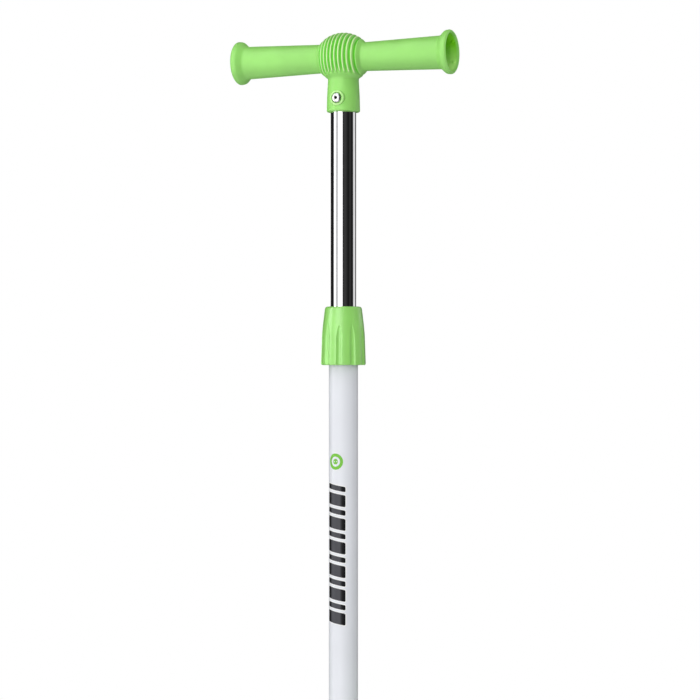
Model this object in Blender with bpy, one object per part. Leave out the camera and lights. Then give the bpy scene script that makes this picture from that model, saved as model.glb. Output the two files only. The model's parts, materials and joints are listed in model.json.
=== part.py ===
"""Child's pogo stick: telescoping T handle, twist-lock collar, folding pedals, coil spring, rubber foot.

Frame: metres, +Z up. The origin is on the ground at the centre of the foot. X runs along the handle and the
pedals, and -Y is the front. The model is at rest: handle raised fully, plunger extended, pedals down.
"""

import math

import bmesh
import bpy
from mathutils import Matrix, Vector

MM = 0.001
GAP = 0.3 * MM  # space kept between neighbouring solids
SEGMENTS = 32  # sides of a turned piece
SMALL_SEGMENTS = 16  # sides of a bolt, pin or hole
WELD = 1e-6  # points closer than this are one point
OVERSHOOT = 2 * MM  # how far a cutter runs past the faces it cuts

# Driving dimensions
TOTAL_HEIGHT = 1000 * MM
MAIN_TUBE_R = 14.3 * MM  # 28.6 mm tube
MAIN_TUBE_WALL = 1.4 * MM
STEM_R = 12.5 * MM  # 25 mm chrome tube
STEM_WALL = 1.5 * MM
PLUNGER_R = 11.1 * MM  # 22.2 mm tube
PLUNGER_WALL = 2.0 * MM
STROKE = 85 * MM  # plunger travel
HANDLE_DROP = 160 * MM  # handle travel, highest to lowest setting

# Handle
BALL_R = 24.6 * MM  # over the crests of the ribs
BALL_HALF_LENGTH = 28.0 * MM  # the ball is a little longer along the bar than it is round
BALL_GROOVE = 1.8 * MM
RIB_PITCH = 4.03 * MM
GROOVE_COUNT = 10
GRIP_R_INNER = 14.05 * MM  # beside the ball
GRIP_R_OUTER = 16.2 * MM  # beside the flange
GRIP_START = 23.4 * MM  # where the grip leaves the ball
HALF_SPAN = 114.0 * MM
FLANGE_R = 21.3 * MM
GRIP_WALL = 2.4 * MM
GRIP_BORE_END = 28 * MM  # blind end of each grip's hollow, from the middle
NECK_R_TOP = 15.1 * MM
NECK_R_MIDDLE = 16.0 * MM
NECK_R_BOTTOM = 16.4 * MM
NECK_DROP = 53.4 * MM  # neck's lower face below the ball's centre
BOLT_DROP = 40.9 * MM  # bolt below the ball's centre
SOCKET_DEPTH_ABOVE = 4.5 * MM  # stem socket's blind end above the ball's centre
BOSS_R = 7.2 * MM
BOSS_REACH = 17.6 * MM  # bolt boss's face from the stem's axis
SEAT_REACH = 16.6 * MM  # face under the bolt head and the nut
BALL_Z = TOTAL_HEIGHT - BALL_R
NECK_BOTTOM_Z = BALL_Z - NECK_DROP
BOLT_Z = BALL_Z - BOLT_DROP

# M5 fasteners of the handle, M6 fasteners of the pedals, 4 mm cross pins
M5_R = 2.5 * MM
M5_HEAD_R = 4.8 * MM
M5_HEAD_H = 2.8 * MM
M5_HEX_FLATS = 3.0 * MM
M5_NUT_FLATS = 8.0 * MM
M5_NUT_H = 5.0 * MM
M6_R = 3.0 * MM
M6_HEAD_R = 5.2 * MM
M6_HEAD_H = 3.3 * MM
M6_HEX_FLATS = 4.0 * MM
M6_NUT_FLATS = 10.0 * MM
M6_NUT_H = 6.0 * MM
PIN_R = 2.0 * MM

# Twist-lock collar on the main tube's upper end
COLLAR_TOP_Z = BALL_Z - 244.3 * MM
COLLAR_HEIGHT = 57.4 * MM
COLLAR_BOTTOM_Z = COLLAR_TOP_Z - COLLAR_HEIGHT
FLUTE_COUNT = 10
FLUTE_DEPTH = 1.5 * MM
FLUTE_WIDTH = math.radians(17)
FLUTE_PHASE = math.radians(-6.75)  # first flute's turn from +X
MAIN_TUBE_TOP_Z = COLLAR_TOP_Z - 28.6 * MM
FERRULE_R = 17.4 * MM
COLLET_HEIGHT = 20 * MM

# Foot, spring and plunger
TIP_HEIGHT = 50 * MM
TIP_R = 29 * MM
TIP_SOLE = 12 * MM  # rubber under the plunger
WASHER_THICKNESS = 2 * MM
CUP_HUB_HEIGHT = 15.5 * MM
SEAT_R = 25.5 * MM  # spring cups
SEAT_LIP = 1.8 * MM
SEAT_THICKNESS = 3.3 * MM
SEAT_LIP_DEPTH = 7.7 * MM
SPRING_WIRE_R = 2.5 * MM
SPRING_MEAN_R = 20.0 * MM
SPRING_TURNS = 12
MAIN_TUBE_BOTTOM_Z = 231 * MM
PLUNGER_TOP_Z = 320 * MM
PLUNGER_BOTTOM_Z = TIP_SOLE + WASHER_THICKNESS + 2 * GAP
BUSH_R = 12.6 * MM
BUSH_BORE_R = PLUNGER_R + GAP
CUP_BOTTOM_Z = TIP_HEIGHT + 0.5 * MM
CUP_FLOOR_Z = CUP_BOTTOM_Z + CUP_HUB_HEIGHT
SEAT_FLOOR_Z = MAIN_TUBE_BOTTOM_Z - 7 * MM

# Pedals
BRACKET_TOP_Z = 300 * MM
BRACKET_HALF_WIDTH = 24 * MM
PLATE = 3 * MM  # bracket and pedal steel
PIVOT_X = 42 * MM
PIVOT_Z = 283 * MM
PEDAL_TIP_X = 148 * MM
PEDAL_HALF_WIDTH = BRACKET_HALF_WIDTH - PLATE - 0.5 * MM
PEDAL_TOP_Z = BRACKET_TOP_Z - PLATE - 0.4 * MM
PEDAL_HEEL_X = 24 * MM
PEDAL_CORNER_R = 5 * MM
PEDAL_WALL = 2.5 * MM
PAD_START_X = 60.5 * MM
PAD_TIP_X = PEDAL_TIP_X - 1 * MM
PAD_BASE = 3.2 * MM
PAD_RIB = 2.6 * MM
PAD_RIB_COUNT = 7
PAD_STUD_R = 3.0 * MM
PAD_STUD_X = (75 * MM, 125 * MM)

ORIGIN = Vector((0, 0, 0))


# ---------------------------------------------------------------- scene helpers


def clear_scene():
    for obj in list(bpy.data.objects):
        bpy.data.objects.remove(obj, do_unlink=True)


def make_material(name, colour, roughness, metallic=0.0):
    material = bpy.data.materials.new(name)
    material.use_nodes = True
    shader = material.node_tree.nodes["Principled BSDF"]
    shader.inputs["Base Color"].default_value = (*colour, 1.0)
    shader.inputs["Roughness"].default_value = roughness
    shader.inputs["Metallic"].default_value = metallic
    return material


def add_object(name, bm, material=None, location=ORIGIN, helper=False):
    """An object from bm, which is freed. A helper only cuts or joins, so it isn't rendered."""
    bmesh.ops.recalc_face_normals(bm, faces=bm.faces)
    mesh = bpy.data.meshes.new(name)
    bm.to_mesh(mesh)
    bm.free()
    mesh.shade_smooth()
    mesh.set_sharp_from_angle(angle=math.radians(35))
    obj = bpy.data.objects.new(name, mesh)
    obj.location = location
    bpy.context.scene.collection.objects.link(obj)
    if material:
        mesh.materials.append(material)
    if helper:
        obj.hide_render = True
        obj.display_type = "WIRE"
    return obj


def boolean(target, tool_name, bm, operation, location=ORIGIN):
    """Cuts bm from target, or joins it on, with a Boolean modifier."""
    tool = add_object(tool_name, bm, location=location, helper=True)
    modifier = target.modifiers.new(tool_name, "BOOLEAN")
    modifier.operation = operation
    modifier.object = tool
    return tool


# ---------------------------------------------------------------- shape helpers


def lathe(profile, segments=SEGMENTS, axis="Z"):
    """Turns (radius, height) points about axis. The profile is a loop unless its ends are on the axis."""
    bm = bmesh.new()
    verts = [bm.verts.new((radius, 0, height)) for radius, height in profile]
    edges = [bm.edges.new(pair) for pair in zip(verts, verts[1:])]
    if profile[0][0] > 0:
        edges.append(bm.edges.new((verts[-1], verts[0])))
    bmesh.ops.spin(
        bm,
        geom=verts + edges,
        cent=ORIGIN,
        axis=(0, 0, 1),
        angle=math.tau,
        steps=segments,
        use_merge=True,
    )
    bmesh.ops.remove_doubles(bm, verts=bm.verts, dist=WELD)
    turn(bm, axis)
    return bm


def turn(bm, axis):
    """Turns geometry made along +Z to run along another axis: X along +X, Y along -Y."""
    if axis == "X":
        bmesh.ops.rotate(bm, verts=bm.verts, matrix=Matrix.Rotation(math.pi / 2, 3, "Y"))
    if axis == "Y":
        bmesh.ops.rotate(bm, verts=bm.verts, matrix=Matrix.Rotation(math.pi / 2, 3, "X"))


def ring(inner_r, outer_r, bottom, top, segments=SEGMENTS, axis="Z"):
    return lathe([(inner_r, bottom), (outer_r, bottom), (outer_r, top), (inner_r, top)], segments, axis)


def rod(radius, start, end, axis="Z", segments=SMALL_SEGMENTS):
    return lathe([(0, start), (radius, start), (radius, end), (0, end)], segments, axis)


def hexagon(across_flats, start, end, axis="Z"):
    return rod(across_flats / math.sqrt(3), start, end, axis, segments=6)


def prism(outline, half_width):
    """A plate with an (x, z) outline, from -half_width to half_width along Y."""
    bm = bmesh.new()
    face = bm.faces.new([bm.verts.new((x, -half_width, z)) for x, z in outline])
    made = bmesh.ops.extrude_face_region(bm, geom=[face])["geom"]
    moved = [item for item in made if isinstance(item, bmesh.types.BMVert)]
    bmesh.ops.translate(bm, verts=moved, vec=(0, 2 * half_width, 0))
    return bm


def box(low, high):
    outline = [(low[0], low[2]), (high[0], low[2]), (high[0], high[2]), (low[0], high[2])]
    bm = prism(outline, (high[1] - low[1]) / 2)
    bmesh.ops.translate(bm, verts=bm.verts, vec=(0, (high[1] + low[1]) / 2, 0))
    return bm


def plan_block(outline, low, high):
    """A block with an (x, y) outline, from low to high along Z."""
    bm = prism(outline, (high - low) / 2)
    bmesh.ops.rotate(bm, verts=bm.verts, matrix=Matrix.Rotation(math.pi / 2, 3, "X"))
    bmesh.ops.translate(bm, verts=bm.verts, vec=(0, 0, (low + high) / 2))
    return bm


def mirror_x(bm):
    bmesh.ops.scale(bm, verts=bm.verts, vec=(-1, 1, 1))
    bmesh.ops.reverse_faces(bm, faces=bm.faces)
    return bm


def arc(centre, radius, start_deg, end_deg, steps):
    """Points of an arc in the plane of the outline, both ends included."""
    angles = [math.radians(start_deg + (end_deg - start_deg) * i / steps) for i in range(steps + 1)]
    return [(centre[0] + radius * math.cos(a), centre[1] + radius * math.sin(a)) for a in angles]


# ---------------------------------------------------------------- handle


def ball_radius(x):
    return BALL_R * math.sqrt(max(1 - (x / BALL_HALF_LENGTH) ** 2, 0))


def grip_outline():
    """(radius, x) points of one grip and half the ball, from the grip's blind end to the ball's middle."""
    flare_x = HALF_SPAN - 12 * MM
    bore_r = GRIP_R_OUTER - GRIP_WALL
    points = [(0, GRIP_BORE_END), (GRIP_R_INNER - GRIP_WALL, GRIP_BORE_END), (bore_r, flare_x)]
    points += [(bore_r + 2.0 * MM, HALF_SPAN - 6.5 * MM), (FLANGE_R - 2.6 * MM, HALF_SPAN - 0.4 * MM)]
    points += [(FLANGE_R - 1.9 * MM, HALF_SPAN), (FLANGE_R - 0.9 * MM, HALF_SPAN - 0.6 * MM)]
    points += [(FLANGE_R, HALF_SPAN - 2.8 * MM), (FLANGE_R - 0.3 * MM, HALF_SPAN - 5.2 * MM)]
    points += [(FLANGE_R - 1.3 * MM, HALF_SPAN - 7.2 * MM), (GRIP_R_OUTER + 0.8 * MM, HALF_SPAN - 10.4 * MM)]
    points += [(GRIP_R_OUTER, flare_x), (GRIP_R_INNER, GRIP_START)]
    shoulder = (GROOVE_COUNT / 2 - 0.15) * RIB_PITCH
    points.append((ball_radius(shoulder), shoulder))
    for groove in reversed(range(GROOVE_COUNT // 2)):
        valley = (groove + 0.5) * RIB_PITCH
        crest = groove * RIB_PITCH
        points.append((ball_radius(valley) - BALL_GROOVE, valley))
        points.append((ball_radius(crest), crest))
    return points


def handle_profile():
    """The whole bar's profile: the right half, then its mirror image from the ball's middle outwards."""
    right = grip_outline()
    left = [(radius, -x) for radius, x in reversed(right)]
    return right + left[1:]


def build_handle(plastic, chrome, steel, black):
    bar = lathe(handle_profile(), segments=28, axis="X")
    tee = add_object("handle_tee", bar, plastic, (0, 0, BALL_Z))
    neck = lathe(
        [
            (0, -NECK_DROP),
            (NECK_R_BOTTOM - 1 * MM, -NECK_DROP),
            (NECK_R_BOTTOM, -NECK_DROP + 1 * MM),
            (NECK_R_MIDDLE, -37.5 * MM),
            (NECK_R_TOP, -20 * MM),
            (NECK_R_TOP - 1 * MM, -12 * MM),
            (0, -12 * MM),
        ]
    )
    boolean(tee, "join_neck", neck, "UNION", (0, 0, BALL_Z))
    boss = rod(BOSS_R, -BOSS_REACH, BOSS_REACH, "Y", SEGMENTS)
    boolean(tee, "join_boss", boss, "UNION", (0, 0, BOLT_Z))
    socket = rod(STEM_R + GAP, -NECK_DROP - OVERSHOOT, SOCKET_DEPTH_ABOVE, segments=SEGMENTS)
    boolean(tee, "cut_socket", socket, "DIFFERENCE", (0, 0, BALL_Z))
    head_pocket = rod(M5_HEAD_R + 0.4 * MM, SEAT_REACH, BOSS_REACH + OVERSHOOT, "Y")
    boolean(tee, "cut_head_pocket", head_pocket, "DIFFERENCE", (0, 0, BOLT_Z))
    nut_pocket = hexagon(M5_NUT_FLATS + 2 * GAP, -BOSS_REACH - OVERSHOOT, -SEAT_REACH, "Y")
    boolean(tee, "cut_nut_pocket", nut_pocket, "DIFFERENCE", (0, 0, BOLT_Z))
    hole = rod(M5_R + GAP, -BOSS_REACH - OVERSHOOT, BOSS_REACH + OVERSHOOT, "Y")
    boolean(tee, "cut_bolt_hole", hole, "DIFFERENCE", (0, 0, BOLT_Z))

    build_stem(chrome, black)
    head_seat = SEAT_REACH + GAP
    bolt = button_bolt(M5_R, M5_HEAD_R, M5_HEAD_H, head_seat, -SEAT_REACH - M5_NUT_H - 1 * MM)
    bolt_object = add_object("handle_bolt", bolt, steel, (0, 0, BOLT_Z))
    socket_top = head_seat + M5_HEAD_H
    key = hexagon(M5_HEX_FLATS, socket_top - 2 * MM, socket_top + OVERSHOOT, "Y")
    boolean(bolt_object, "cut_handle_bolt_key", key, "DIFFERENCE", (0, 0, BOLT_Z))
    nut = hexagon(M5_NUT_FLATS, -SEAT_REACH - GAP - M5_NUT_H, -SEAT_REACH - GAP, "Y")
    nut_object = add_object("handle_nut", nut, steel, (0, 0, BOLT_Z))
    nut_hole = rod(M5_R + GAP, -SEAT_REACH - 2 * M5_NUT_H, -SEAT_REACH + OVERSHOOT, "Y")
    boolean(nut_object, "cut_handle_nut", nut_hole, "DIFFERENCE", (0, 0, BOLT_Z))


def button_bolt(shank_r, head_r, head_h, seat, end):
    """A button-head bolt along -Y: its head starts at seat, and its shank runs back to end."""
    profile = [(0, end), (shank_r, end), (shank_r, seat), (head_r, seat), (head_r, seat + 0.3 * head_h)]
    profile += [(head_r * 0.86, seat + 0.7 * head_h), (head_r * 0.58, seat + head_h), (0, seat + head_h)]
    return lathe(profile, SMALL_SEGMENTS, "Y")


def build_stem(chrome, black):
    bottom = PLUNGER_TOP_Z + STROKE + HANDLE_DROP + 33 * MM
    top = BALL_Z + SOCKET_DEPTH_ABOVE - 0.5 * MM
    stem = add_object("stem_tube", ring(STEM_R - STEM_WALL, STEM_R, bottom, top), chrome)
    hole = rod(M5_R + GAP, -STEM_R - OVERSHOOT, STEM_R + OVERSHOOT, "Y")
    boolean(stem, "cut_stem_hole", hole, "DIFFERENCE", (0, 0, BOLT_Z))
    plug_r = STEM_R - STEM_WALL - GAP
    flange_z = bottom - GAP
    plug = lathe(
        [
            (0, flange_z - 3.5 * MM),
            (plug_r + 1 * MM, flange_z - 3.5 * MM),
            (STEM_R + 0.1 * MM, flange_z - 2.5 * MM),
            (STEM_R + 0.1 * MM, flange_z),
            (plug_r, flange_z),
            (plug_r, flange_z + 14 * MM),
            (0, flange_z + 14 * MM),
        ]
    )
    add_object("stem_end_plug", plug, black)


# ---------------------------------------------------------------- collar


COLLAR_PROFILE = (  # (distance below the top, radius)
    (0.0 * MM, 15.6 * MM),
    (0.8 * MM, 17.3 * MM),
    (2.6 * MM, 18.3 * MM),
    (8.5 * MM, 19.05 * MM),
    (17.5 * MM, 20.05 * MM),
    (25.0 * MM, 20.75 * MM),
    (34.0 * MM, 21.2 * MM),
    (56.2 * MM, 21.9 * MM),
    (57.4 * MM, 21.0 * MM),
)
FLUTE_START = 17.5 * MM  # a flute's pointed end, below the collar's top
FLUTE_FULL = 32 * MM  # where it reaches its full width


def flute_depth(angle, below_top):
    """How deep the nearest flute is here. Flutes widen and deepen from a point near the collar's shoulder."""
    share = min(max((below_top - FLUTE_START) / (FLUTE_FULL - FLUTE_START), 0.0), 1.0)
    spacing = math.tau / FLUTE_COUNT
    off = abs((angle - FLUTE_PHASE + spacing / 2) % spacing - spacing / 2)
    half_width = FLUTE_WIDTH / 2 * math.sqrt(share) + 1e-9
    if off >= half_width:
        return 0.0
    return FLUTE_DEPTH * share * math.cos(math.pi / 2 * off / half_width)


def collar_shell():
    """The collar: fluted outside, round inside with a thread zone, a cone over the collet and a stem hole."""
    inner = (
        (57.4 * MM, FERRULE_R + 0.5 * MM),
        (24.2 * MM, FERRULE_R + 0.5 * MM),
        (23.4 * MM, 17.5 * MM),
        (7.6 * MM, 15.5 * MM),
        (6.8 * MM, STEM_R + 0.5 * MM),
        (0.0 * MM, STEM_R + 0.5 * MM),
    )
    columns = FLUTE_COUNT * 5
    bm = bmesh.new()
    loops = []
    for below_top, radius in COLLAR_PROFILE + inner:
        outside = len(loops) < len(COLLAR_PROFILE)
        loop = []
        for column in range(columns):
            angle = FLUTE_PHASE + math.tau * column / columns
            r = radius - (flute_depth(angle, below_top) if outside else 0.0)
            loop.append(bm.verts.new((r * math.cos(angle), r * math.sin(angle), -below_top)))
        loops.append(loop)
    for upper, lower in zip(loops, loops[1:] + loops[:1]):
        for i in range(columns):
            j = (i + 1) % columns
            bm.faces.new((upper[i], upper[j], lower[j], lower[i]))
    return bm


def build_collar(plastic, steel, black):
    add_object("lock_collar", collar_shell(), plastic, (0, 0, COLLAR_TOP_Z))
    ferrule = ring(MAIN_TUBE_R + GAP, FERRULE_R, COLLAR_BOTTOM_Z + 3 * MM, MAIN_TUBE_TOP_Z - 1 * MM)
    add_object("threaded_ferrule", ferrule, steel)
    base = MAIN_TUBE_TOP_Z + GAP
    bore_r = STEM_R + GAP
    profile = [(bore_r, base), (17 * MM, base), (17 * MM, base + 4 * MM), (14.9 * MM, base + COLLET_HEIGHT)]
    collet = add_object("collet", lathe(profile + [(bore_r, base + COLLET_HEIGHT)]), black)
    slit_low = base + 6 * MM
    slit_high = base + COLLET_HEIGHT + OVERSHOOT
    for axis_index, name in enumerate(("cut_slit_x", "cut_slit_y")):
        reach = [20 * MM, 20 * MM]
        reach[axis_index] = 0.75 * MM
        slit = box((-reach[0], -reach[1], slit_low), (reach[0], reach[1], slit_high))
        boolean(collet, name, slit, "DIFFERENCE")


# ---------------------------------------------------------------- frame


def build_frame(paint, steel, black):
    inner_r = MAIN_TUBE_R - MAIN_TUBE_WALL
    tube = ring(inner_r, MAIN_TUBE_R, MAIN_TUBE_BOTTOM_Z, MAIN_TUBE_TOP_Z)
    add_object("main_tube", tube, paint)
    build_bracket(paint)

    flange_top = MAIN_TUBE_BOTTOM_Z - GAP
    flange_bottom = SEAT_FLOOR_Z + SEAT_THICKNESS + GAP
    bush = lathe(
        [
            (BUSH_BORE_R, flange_bottom),
            (MAIN_TUBE_R - 0.1 * MM, flange_bottom),
            (MAIN_TUBE_R - 0.1 * MM, flange_top),
            (BUSH_R, flange_top),
            (BUSH_R, MAIN_TUBE_BOTTOM_Z + 31 * MM),
            (BUSH_BORE_R, MAIN_TUBE_BOTTOM_Z + 31 * MM),
        ]
    )
    add_object("guide_bush", bush, black)
    sleeve_r = MAIN_TUBE_R + GAP
    lip_r = SEAT_R - SEAT_LIP
    seat = lathe(
        [
            (BUSH_BORE_R + GAP, SEAT_FLOOR_Z),
            (lip_r, SEAT_FLOOR_Z),
            (lip_r, SEAT_FLOOR_Z - SEAT_LIP_DEPTH),
            (SEAT_R, SEAT_FLOOR_Z - SEAT_LIP_DEPTH),
            (SEAT_R, SEAT_FLOOR_Z + 1.8 * MM),
            (SEAT_R - 1.2 * MM, SEAT_FLOOR_Z + 3 * MM),
            (sleeve_r + 3 * MM, SEAT_FLOOR_Z + 3 * MM),
            (sleeve_r + 2.4 * MM, SEAT_FLOOR_Z + 22 * MM),
            (sleeve_r, SEAT_FLOOR_Z + 22 * MM),
            (sleeve_r, SEAT_FLOOR_Z + SEAT_THICKNESS),
            (BUSH_BORE_R + GAP, SEAT_FLOOR_Z + SEAT_THICKNESS),
        ]
    )
    add_object("spring_seat", seat, steel)


def bracket_outline():
    """Side plate: a round ear about each pivot, a level top over the web and a belly under the tube."""
    ear_r = 10.5 * MM
    right_ear = arc((PIVOT_X, PIVOT_Z), ear_r, -100, 55, 7)
    right = [(16 * MM, PIVOT_Z - 15 * MM)] + right_ear + [(28 * MM, BRACKET_TOP_Z)]
    left = [(-x, z) for x, z in reversed(right)]
    return right + left


def build_bracket(paint):
    """A folded channel: level web on top, two side plates, and a welded sleeve that takes the main tube."""
    bracket = add_object("foot_bracket", prism(bracket_outline(), BRACKET_HALF_WIDTH), paint)
    web_x = 28 * MM
    web_z = BRACKET_TOP_Z - PLATE
    reach = 70 * MM
    inside = [(-reach, web_z - reach), (reach, web_z - reach), (reach, web_z + reach), (web_x, web_z + reach)]
    inside += [(web_x, web_z), (-web_x, web_z), (-web_x, web_z + reach), (-reach, web_z + reach)]
    boolean(bracket, "cut_channel", prism(inside, BRACKET_HALF_WIDTH - PLATE), "DIFFERENCE")
    for side, name in ((-1, "cut_left_pivot"), (1, "cut_right_pivot")):
        pivot_hole = rod(M6_R + GAP, -BRACKET_HALF_WIDTH - OVERSHOOT, BRACKET_HALF_WIDTH + OVERSHOOT, "Y")
        boolean(bracket, name, pivot_hole, "DIFFERENCE", (side * PIVOT_X, 0, PIVOT_Z))
    bottom = BRACKET_TOP_Z - 34 * MM
    top = BRACKET_TOP_Z + 5 * MM
    sleeve = rod(MAIN_TUBE_R + 3.2 * MM, bottom, top, segments=SEGMENTS)
    boolean(bracket, "join_sleeve", sleeve, "UNION")
    tube_hole = rod(MAIN_TUBE_R + GAP, bottom - OVERSHOOT, top + OVERSHOOT, segments=SEGMENTS)
    boolean(bracket, "cut_tube_hole", tube_hole, "DIFFERENCE")


# ---------------------------------------------------------------- pedals


def tip_plan(start_x, tip_x):
    """Plan view of a pedal or its pad: square at the heel, with rounded corners at the tip."""
    y = PEDAL_HALF_WIDTH
    corner_x = tip_x - PEDAL_CORNER_R
    corner_y = y - PEDAL_CORNER_R
    front = arc((corner_x, -corner_y), PEDAL_CORNER_R, -90, 0, 5)
    back = arc((corner_x, corner_y), PEDAL_CORNER_R, 0, 90, 5)
    return [(start_x, -y), *front, *back, (start_x, y)]


def pedal_outline():
    """Side view of the right pedal: level top, round heel under the web, belly rising to the tip."""
    low = PIVOT_Z - 9 * MM
    past_tip = PEDAL_TIP_X + OVERSHOOT
    return [
        (PEDAL_HEEL_X, PEDAL_TOP_Z - 5 * MM),
        *arc((PIVOT_X, PIVOT_Z), 9 * MM, 200, 270, 3),
        (64 * MM, low + 0.5 * MM),
        (PEDAL_TIP_X - 12 * MM, PEDAL_TOP_Z - 11 * MM),
        (past_tip, PEDAL_TOP_Z - 8 * MM),
        (past_tip, PEDAL_TOP_Z),
        (PEDAL_HEEL_X, PEDAL_TOP_Z),
    ]


def pad_outline():
    """Side view of the right tread pad: a base with square ribs across the foot and a raised outer end."""
    base_z = PEDAL_TOP_Z + GAP
    floor_z = base_z + PAD_BASE
    rib_z = floor_z + PAD_RIB
    lip_z = rib_z + 5 * MM
    past_tip = PAD_TIP_X + OVERSHOOT
    points = [(past_tip, base_z), (past_tip, lip_z)]
    points += [(PAD_TIP_X - 5 * MM, lip_z), (PAD_TIP_X - 8 * MM, floor_z)]
    pitch = (PAD_TIP_X - 10 * MM - PAD_START_X) / PAD_RIB_COUNT
    for rib in reversed(range(PAD_RIB_COUNT)):
        start = PAD_START_X + rib * pitch
        stop = start + 0.62 * pitch
        points += [(stop, floor_z), (stop, rib_z), (start, rib_z)]
        if rib:
            points.append((start, floor_z))
    return points + [(PAD_START_X, base_z)]


def sided(bm, side):
    return bm if side > 0 else mirror_x(bm)


def build_pedal(side, label, paint, rubber, steel):
    """side is 1 for the pedal at +X and -1 for its mirror image at -X."""
    pivot = (side * PIVOT_X, 0, PIVOT_Z)
    low = PIVOT_Z - 20 * MM
    high = PEDAL_TOP_Z + 20 * MM
    wide = PEDAL_HALF_WIDTH + OVERSHOOT
    plan = plan_block(tip_plan(PEDAL_HEEL_X - OVERSHOOT, PEDAL_TIP_X), low, high)
    pedal = add_object(f"pedal_{label}", sided(plan, side), paint)
    profile = sided(prism(pedal_outline(), wide), side)
    boolean(pedal, f"trim_pedal_{label}", profile, "INTERSECT")
    channel_half = PEDAL_HALF_WIDTH - PEDAL_WALL
    channel = box(
        (PEDAL_HEEL_X - OVERSHOOT, -channel_half, low),
        (PEDAL_TIP_X - PEDAL_WALL, channel_half, PEDAL_TOP_Z - PLATE),
    )
    boolean(pedal, f"cut_channel_{label}", sided(channel, side), "DIFFERENCE")
    sleeve_r = M6_R + GAP + 1.5 * MM
    boolean(pedal, f"cut_sleeve_{label}", rod(sleeve_r + GAP, -wide, wide, "Y"), "DIFFERENCE", pivot)

    plan = plan_block(tip_plan(PAD_START_X - OVERSHOOT, PAD_TIP_X), low, high)
    pad = add_object(f"pedal_pad_{label}", sided(plan, side), rubber)
    profile = sided(prism(pad_outline(), wide), side)
    boolean(pad, f"trim_pad_{label}", profile, "INTERSECT")
    underside = PEDAL_TOP_Z - PLATE
    for index, stud_x in enumerate(PAD_STUD_X):
        place = (side * stud_x, 0, 0)
        hole = rod(PAD_STUD_R + GAP, underside - OVERSHOOT, PEDAL_TOP_Z + OVERSHOOT)
        boolean(pedal, f"cut_stud_{label}_{index}", hole, "DIFFERENCE", place)
        stud = lathe(
            [
                (0, underside - 3 * MM),
                (PAD_STUD_R, underside - 3 * MM),
                (PAD_STUD_R + 1.4 * MM, underside - 1.2 * MM),
                (PAD_STUD_R + 1.4 * MM, underside - GAP),
                (PAD_STUD_R, underside - GAP),
                (PAD_STUD_R, PEDAL_TOP_Z + 1.5 * MM),
                (0, PEDAL_TOP_Z + 1.5 * MM),
            ],
            SMALL_SEGMENTS,
        )
        boolean(pad, f"join_stud_{label}_{index}", stud, "UNION", place)

    build_pivot(pivot, label, sleeve_r, steel)


def build_pivot(pivot, label, sleeve_r, steel):
    """The bolt, nut and spacer sleeve that a pedal turns on. They stay with the bracket."""
    sleeve_half = BRACKET_HALF_WIDTH - PLATE - GAP
    sleeve = ring(M6_R + GAP, sleeve_r, -sleeve_half, sleeve_half, SMALL_SEGMENTS, "Y")
    add_object(f"pivot_sleeve_{label}", sleeve, steel, pivot)
    seat = BRACKET_HALF_WIDTH + GAP
    bolt = button_bolt(M6_R, M6_HEAD_R, M6_HEAD_H, seat, -seat - M6_NUT_H - 1.2 * MM)
    bolt_object = add_object(f"pivot_bolt_{label}", bolt, steel, pivot)
    key = hexagon(M6_HEX_FLATS, seat + M6_HEAD_H - 2.2 * MM, seat + M6_HEAD_H + OVERSHOOT, "Y")
    boolean(bolt_object, f"cut_key_{label}", key, "DIFFERENCE", pivot)
    nut = hexagon(M6_NUT_FLATS, -seat - M6_NUT_H, -seat, "Y")
    nut_object = add_object(f"pivot_nut_{label}", nut, steel, pivot)
    nut_hole = rod(M6_R + GAP, -seat - 2 * M6_NUT_H, -seat + OVERSHOOT, "Y")
    boolean(nut_object, f"cut_nut_{label}", nut_hole, "DIFFERENCE", pivot)


# ---------------------------------------------------------------- plunger


def build_plunger(chrome, steel, rubber, black):
    inner_r = PLUNGER_R - PLUNGER_WALL
    pin_hole_r = PIN_R + GAP
    cup_pin_z = CUP_BOTTOM_Z + 7.5 * MM
    head_pin_z = PLUNGER_TOP_Z - 12 * MM
    tube = add_object("plunger_tube", ring(inner_r, PLUNGER_R, PLUNGER_BOTTOM_Z, PLUNGER_TOP_Z), chrome)
    head = add_object("plunger_head", plunger_head(inner_r), black)
    cup = add_object("spring_cup", spring_cup(), steel)
    hub_r = PLUNGER_R + GAP + 4.6 * MM
    cup_holes = ((tube, cup_pin_z, "Y"), (cup, cup_pin_z, "Y"))
    head_holes = ((tube, head_pin_z, "X"), (head, head_pin_z, "X"))
    for target, z, axis in cup_holes + head_holes:
        hole = rod(pin_hole_r, -hub_r - OVERSHOOT, hub_r + OVERSHOOT, axis)
        boolean(target, f"cut_{axis}_{target.name}", hole, "DIFFERENCE", (0, 0, z))
    add_object("cup_pin", rod(PIN_R, -hub_r, hub_r, "Y"), steel, (0, 0, cup_pin_z))
    head_pin_reach = BUSH_R - 0.2 * MM
    add_object("head_pin", rod(PIN_R, -head_pin_reach, head_pin_reach, "X"), steel, (0, 0, head_pin_z))

    bumper_bottom = MAIN_TUBE_BOTTOM_Z + 31 * MM + GAP
    bumper_top = PLUNGER_TOP_Z - 28 * MM - GAP
    bumper = ring(PLUNGER_R + 0.4 * MM, BUSH_R - 0.1 * MM, bumper_bottom, bumper_top)
    add_object("rebound_bumper", bumper, rubber)
    washer = rod(PLUNGER_R - 0.2 * MM, TIP_SOLE + GAP, TIP_SOLE + GAP + WASHER_THICKNESS, segments=SEGMENTS)
    add_object("tip_washer", washer, steel)
    add_object("foot_tip", foot_tip(), rubber)


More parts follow.
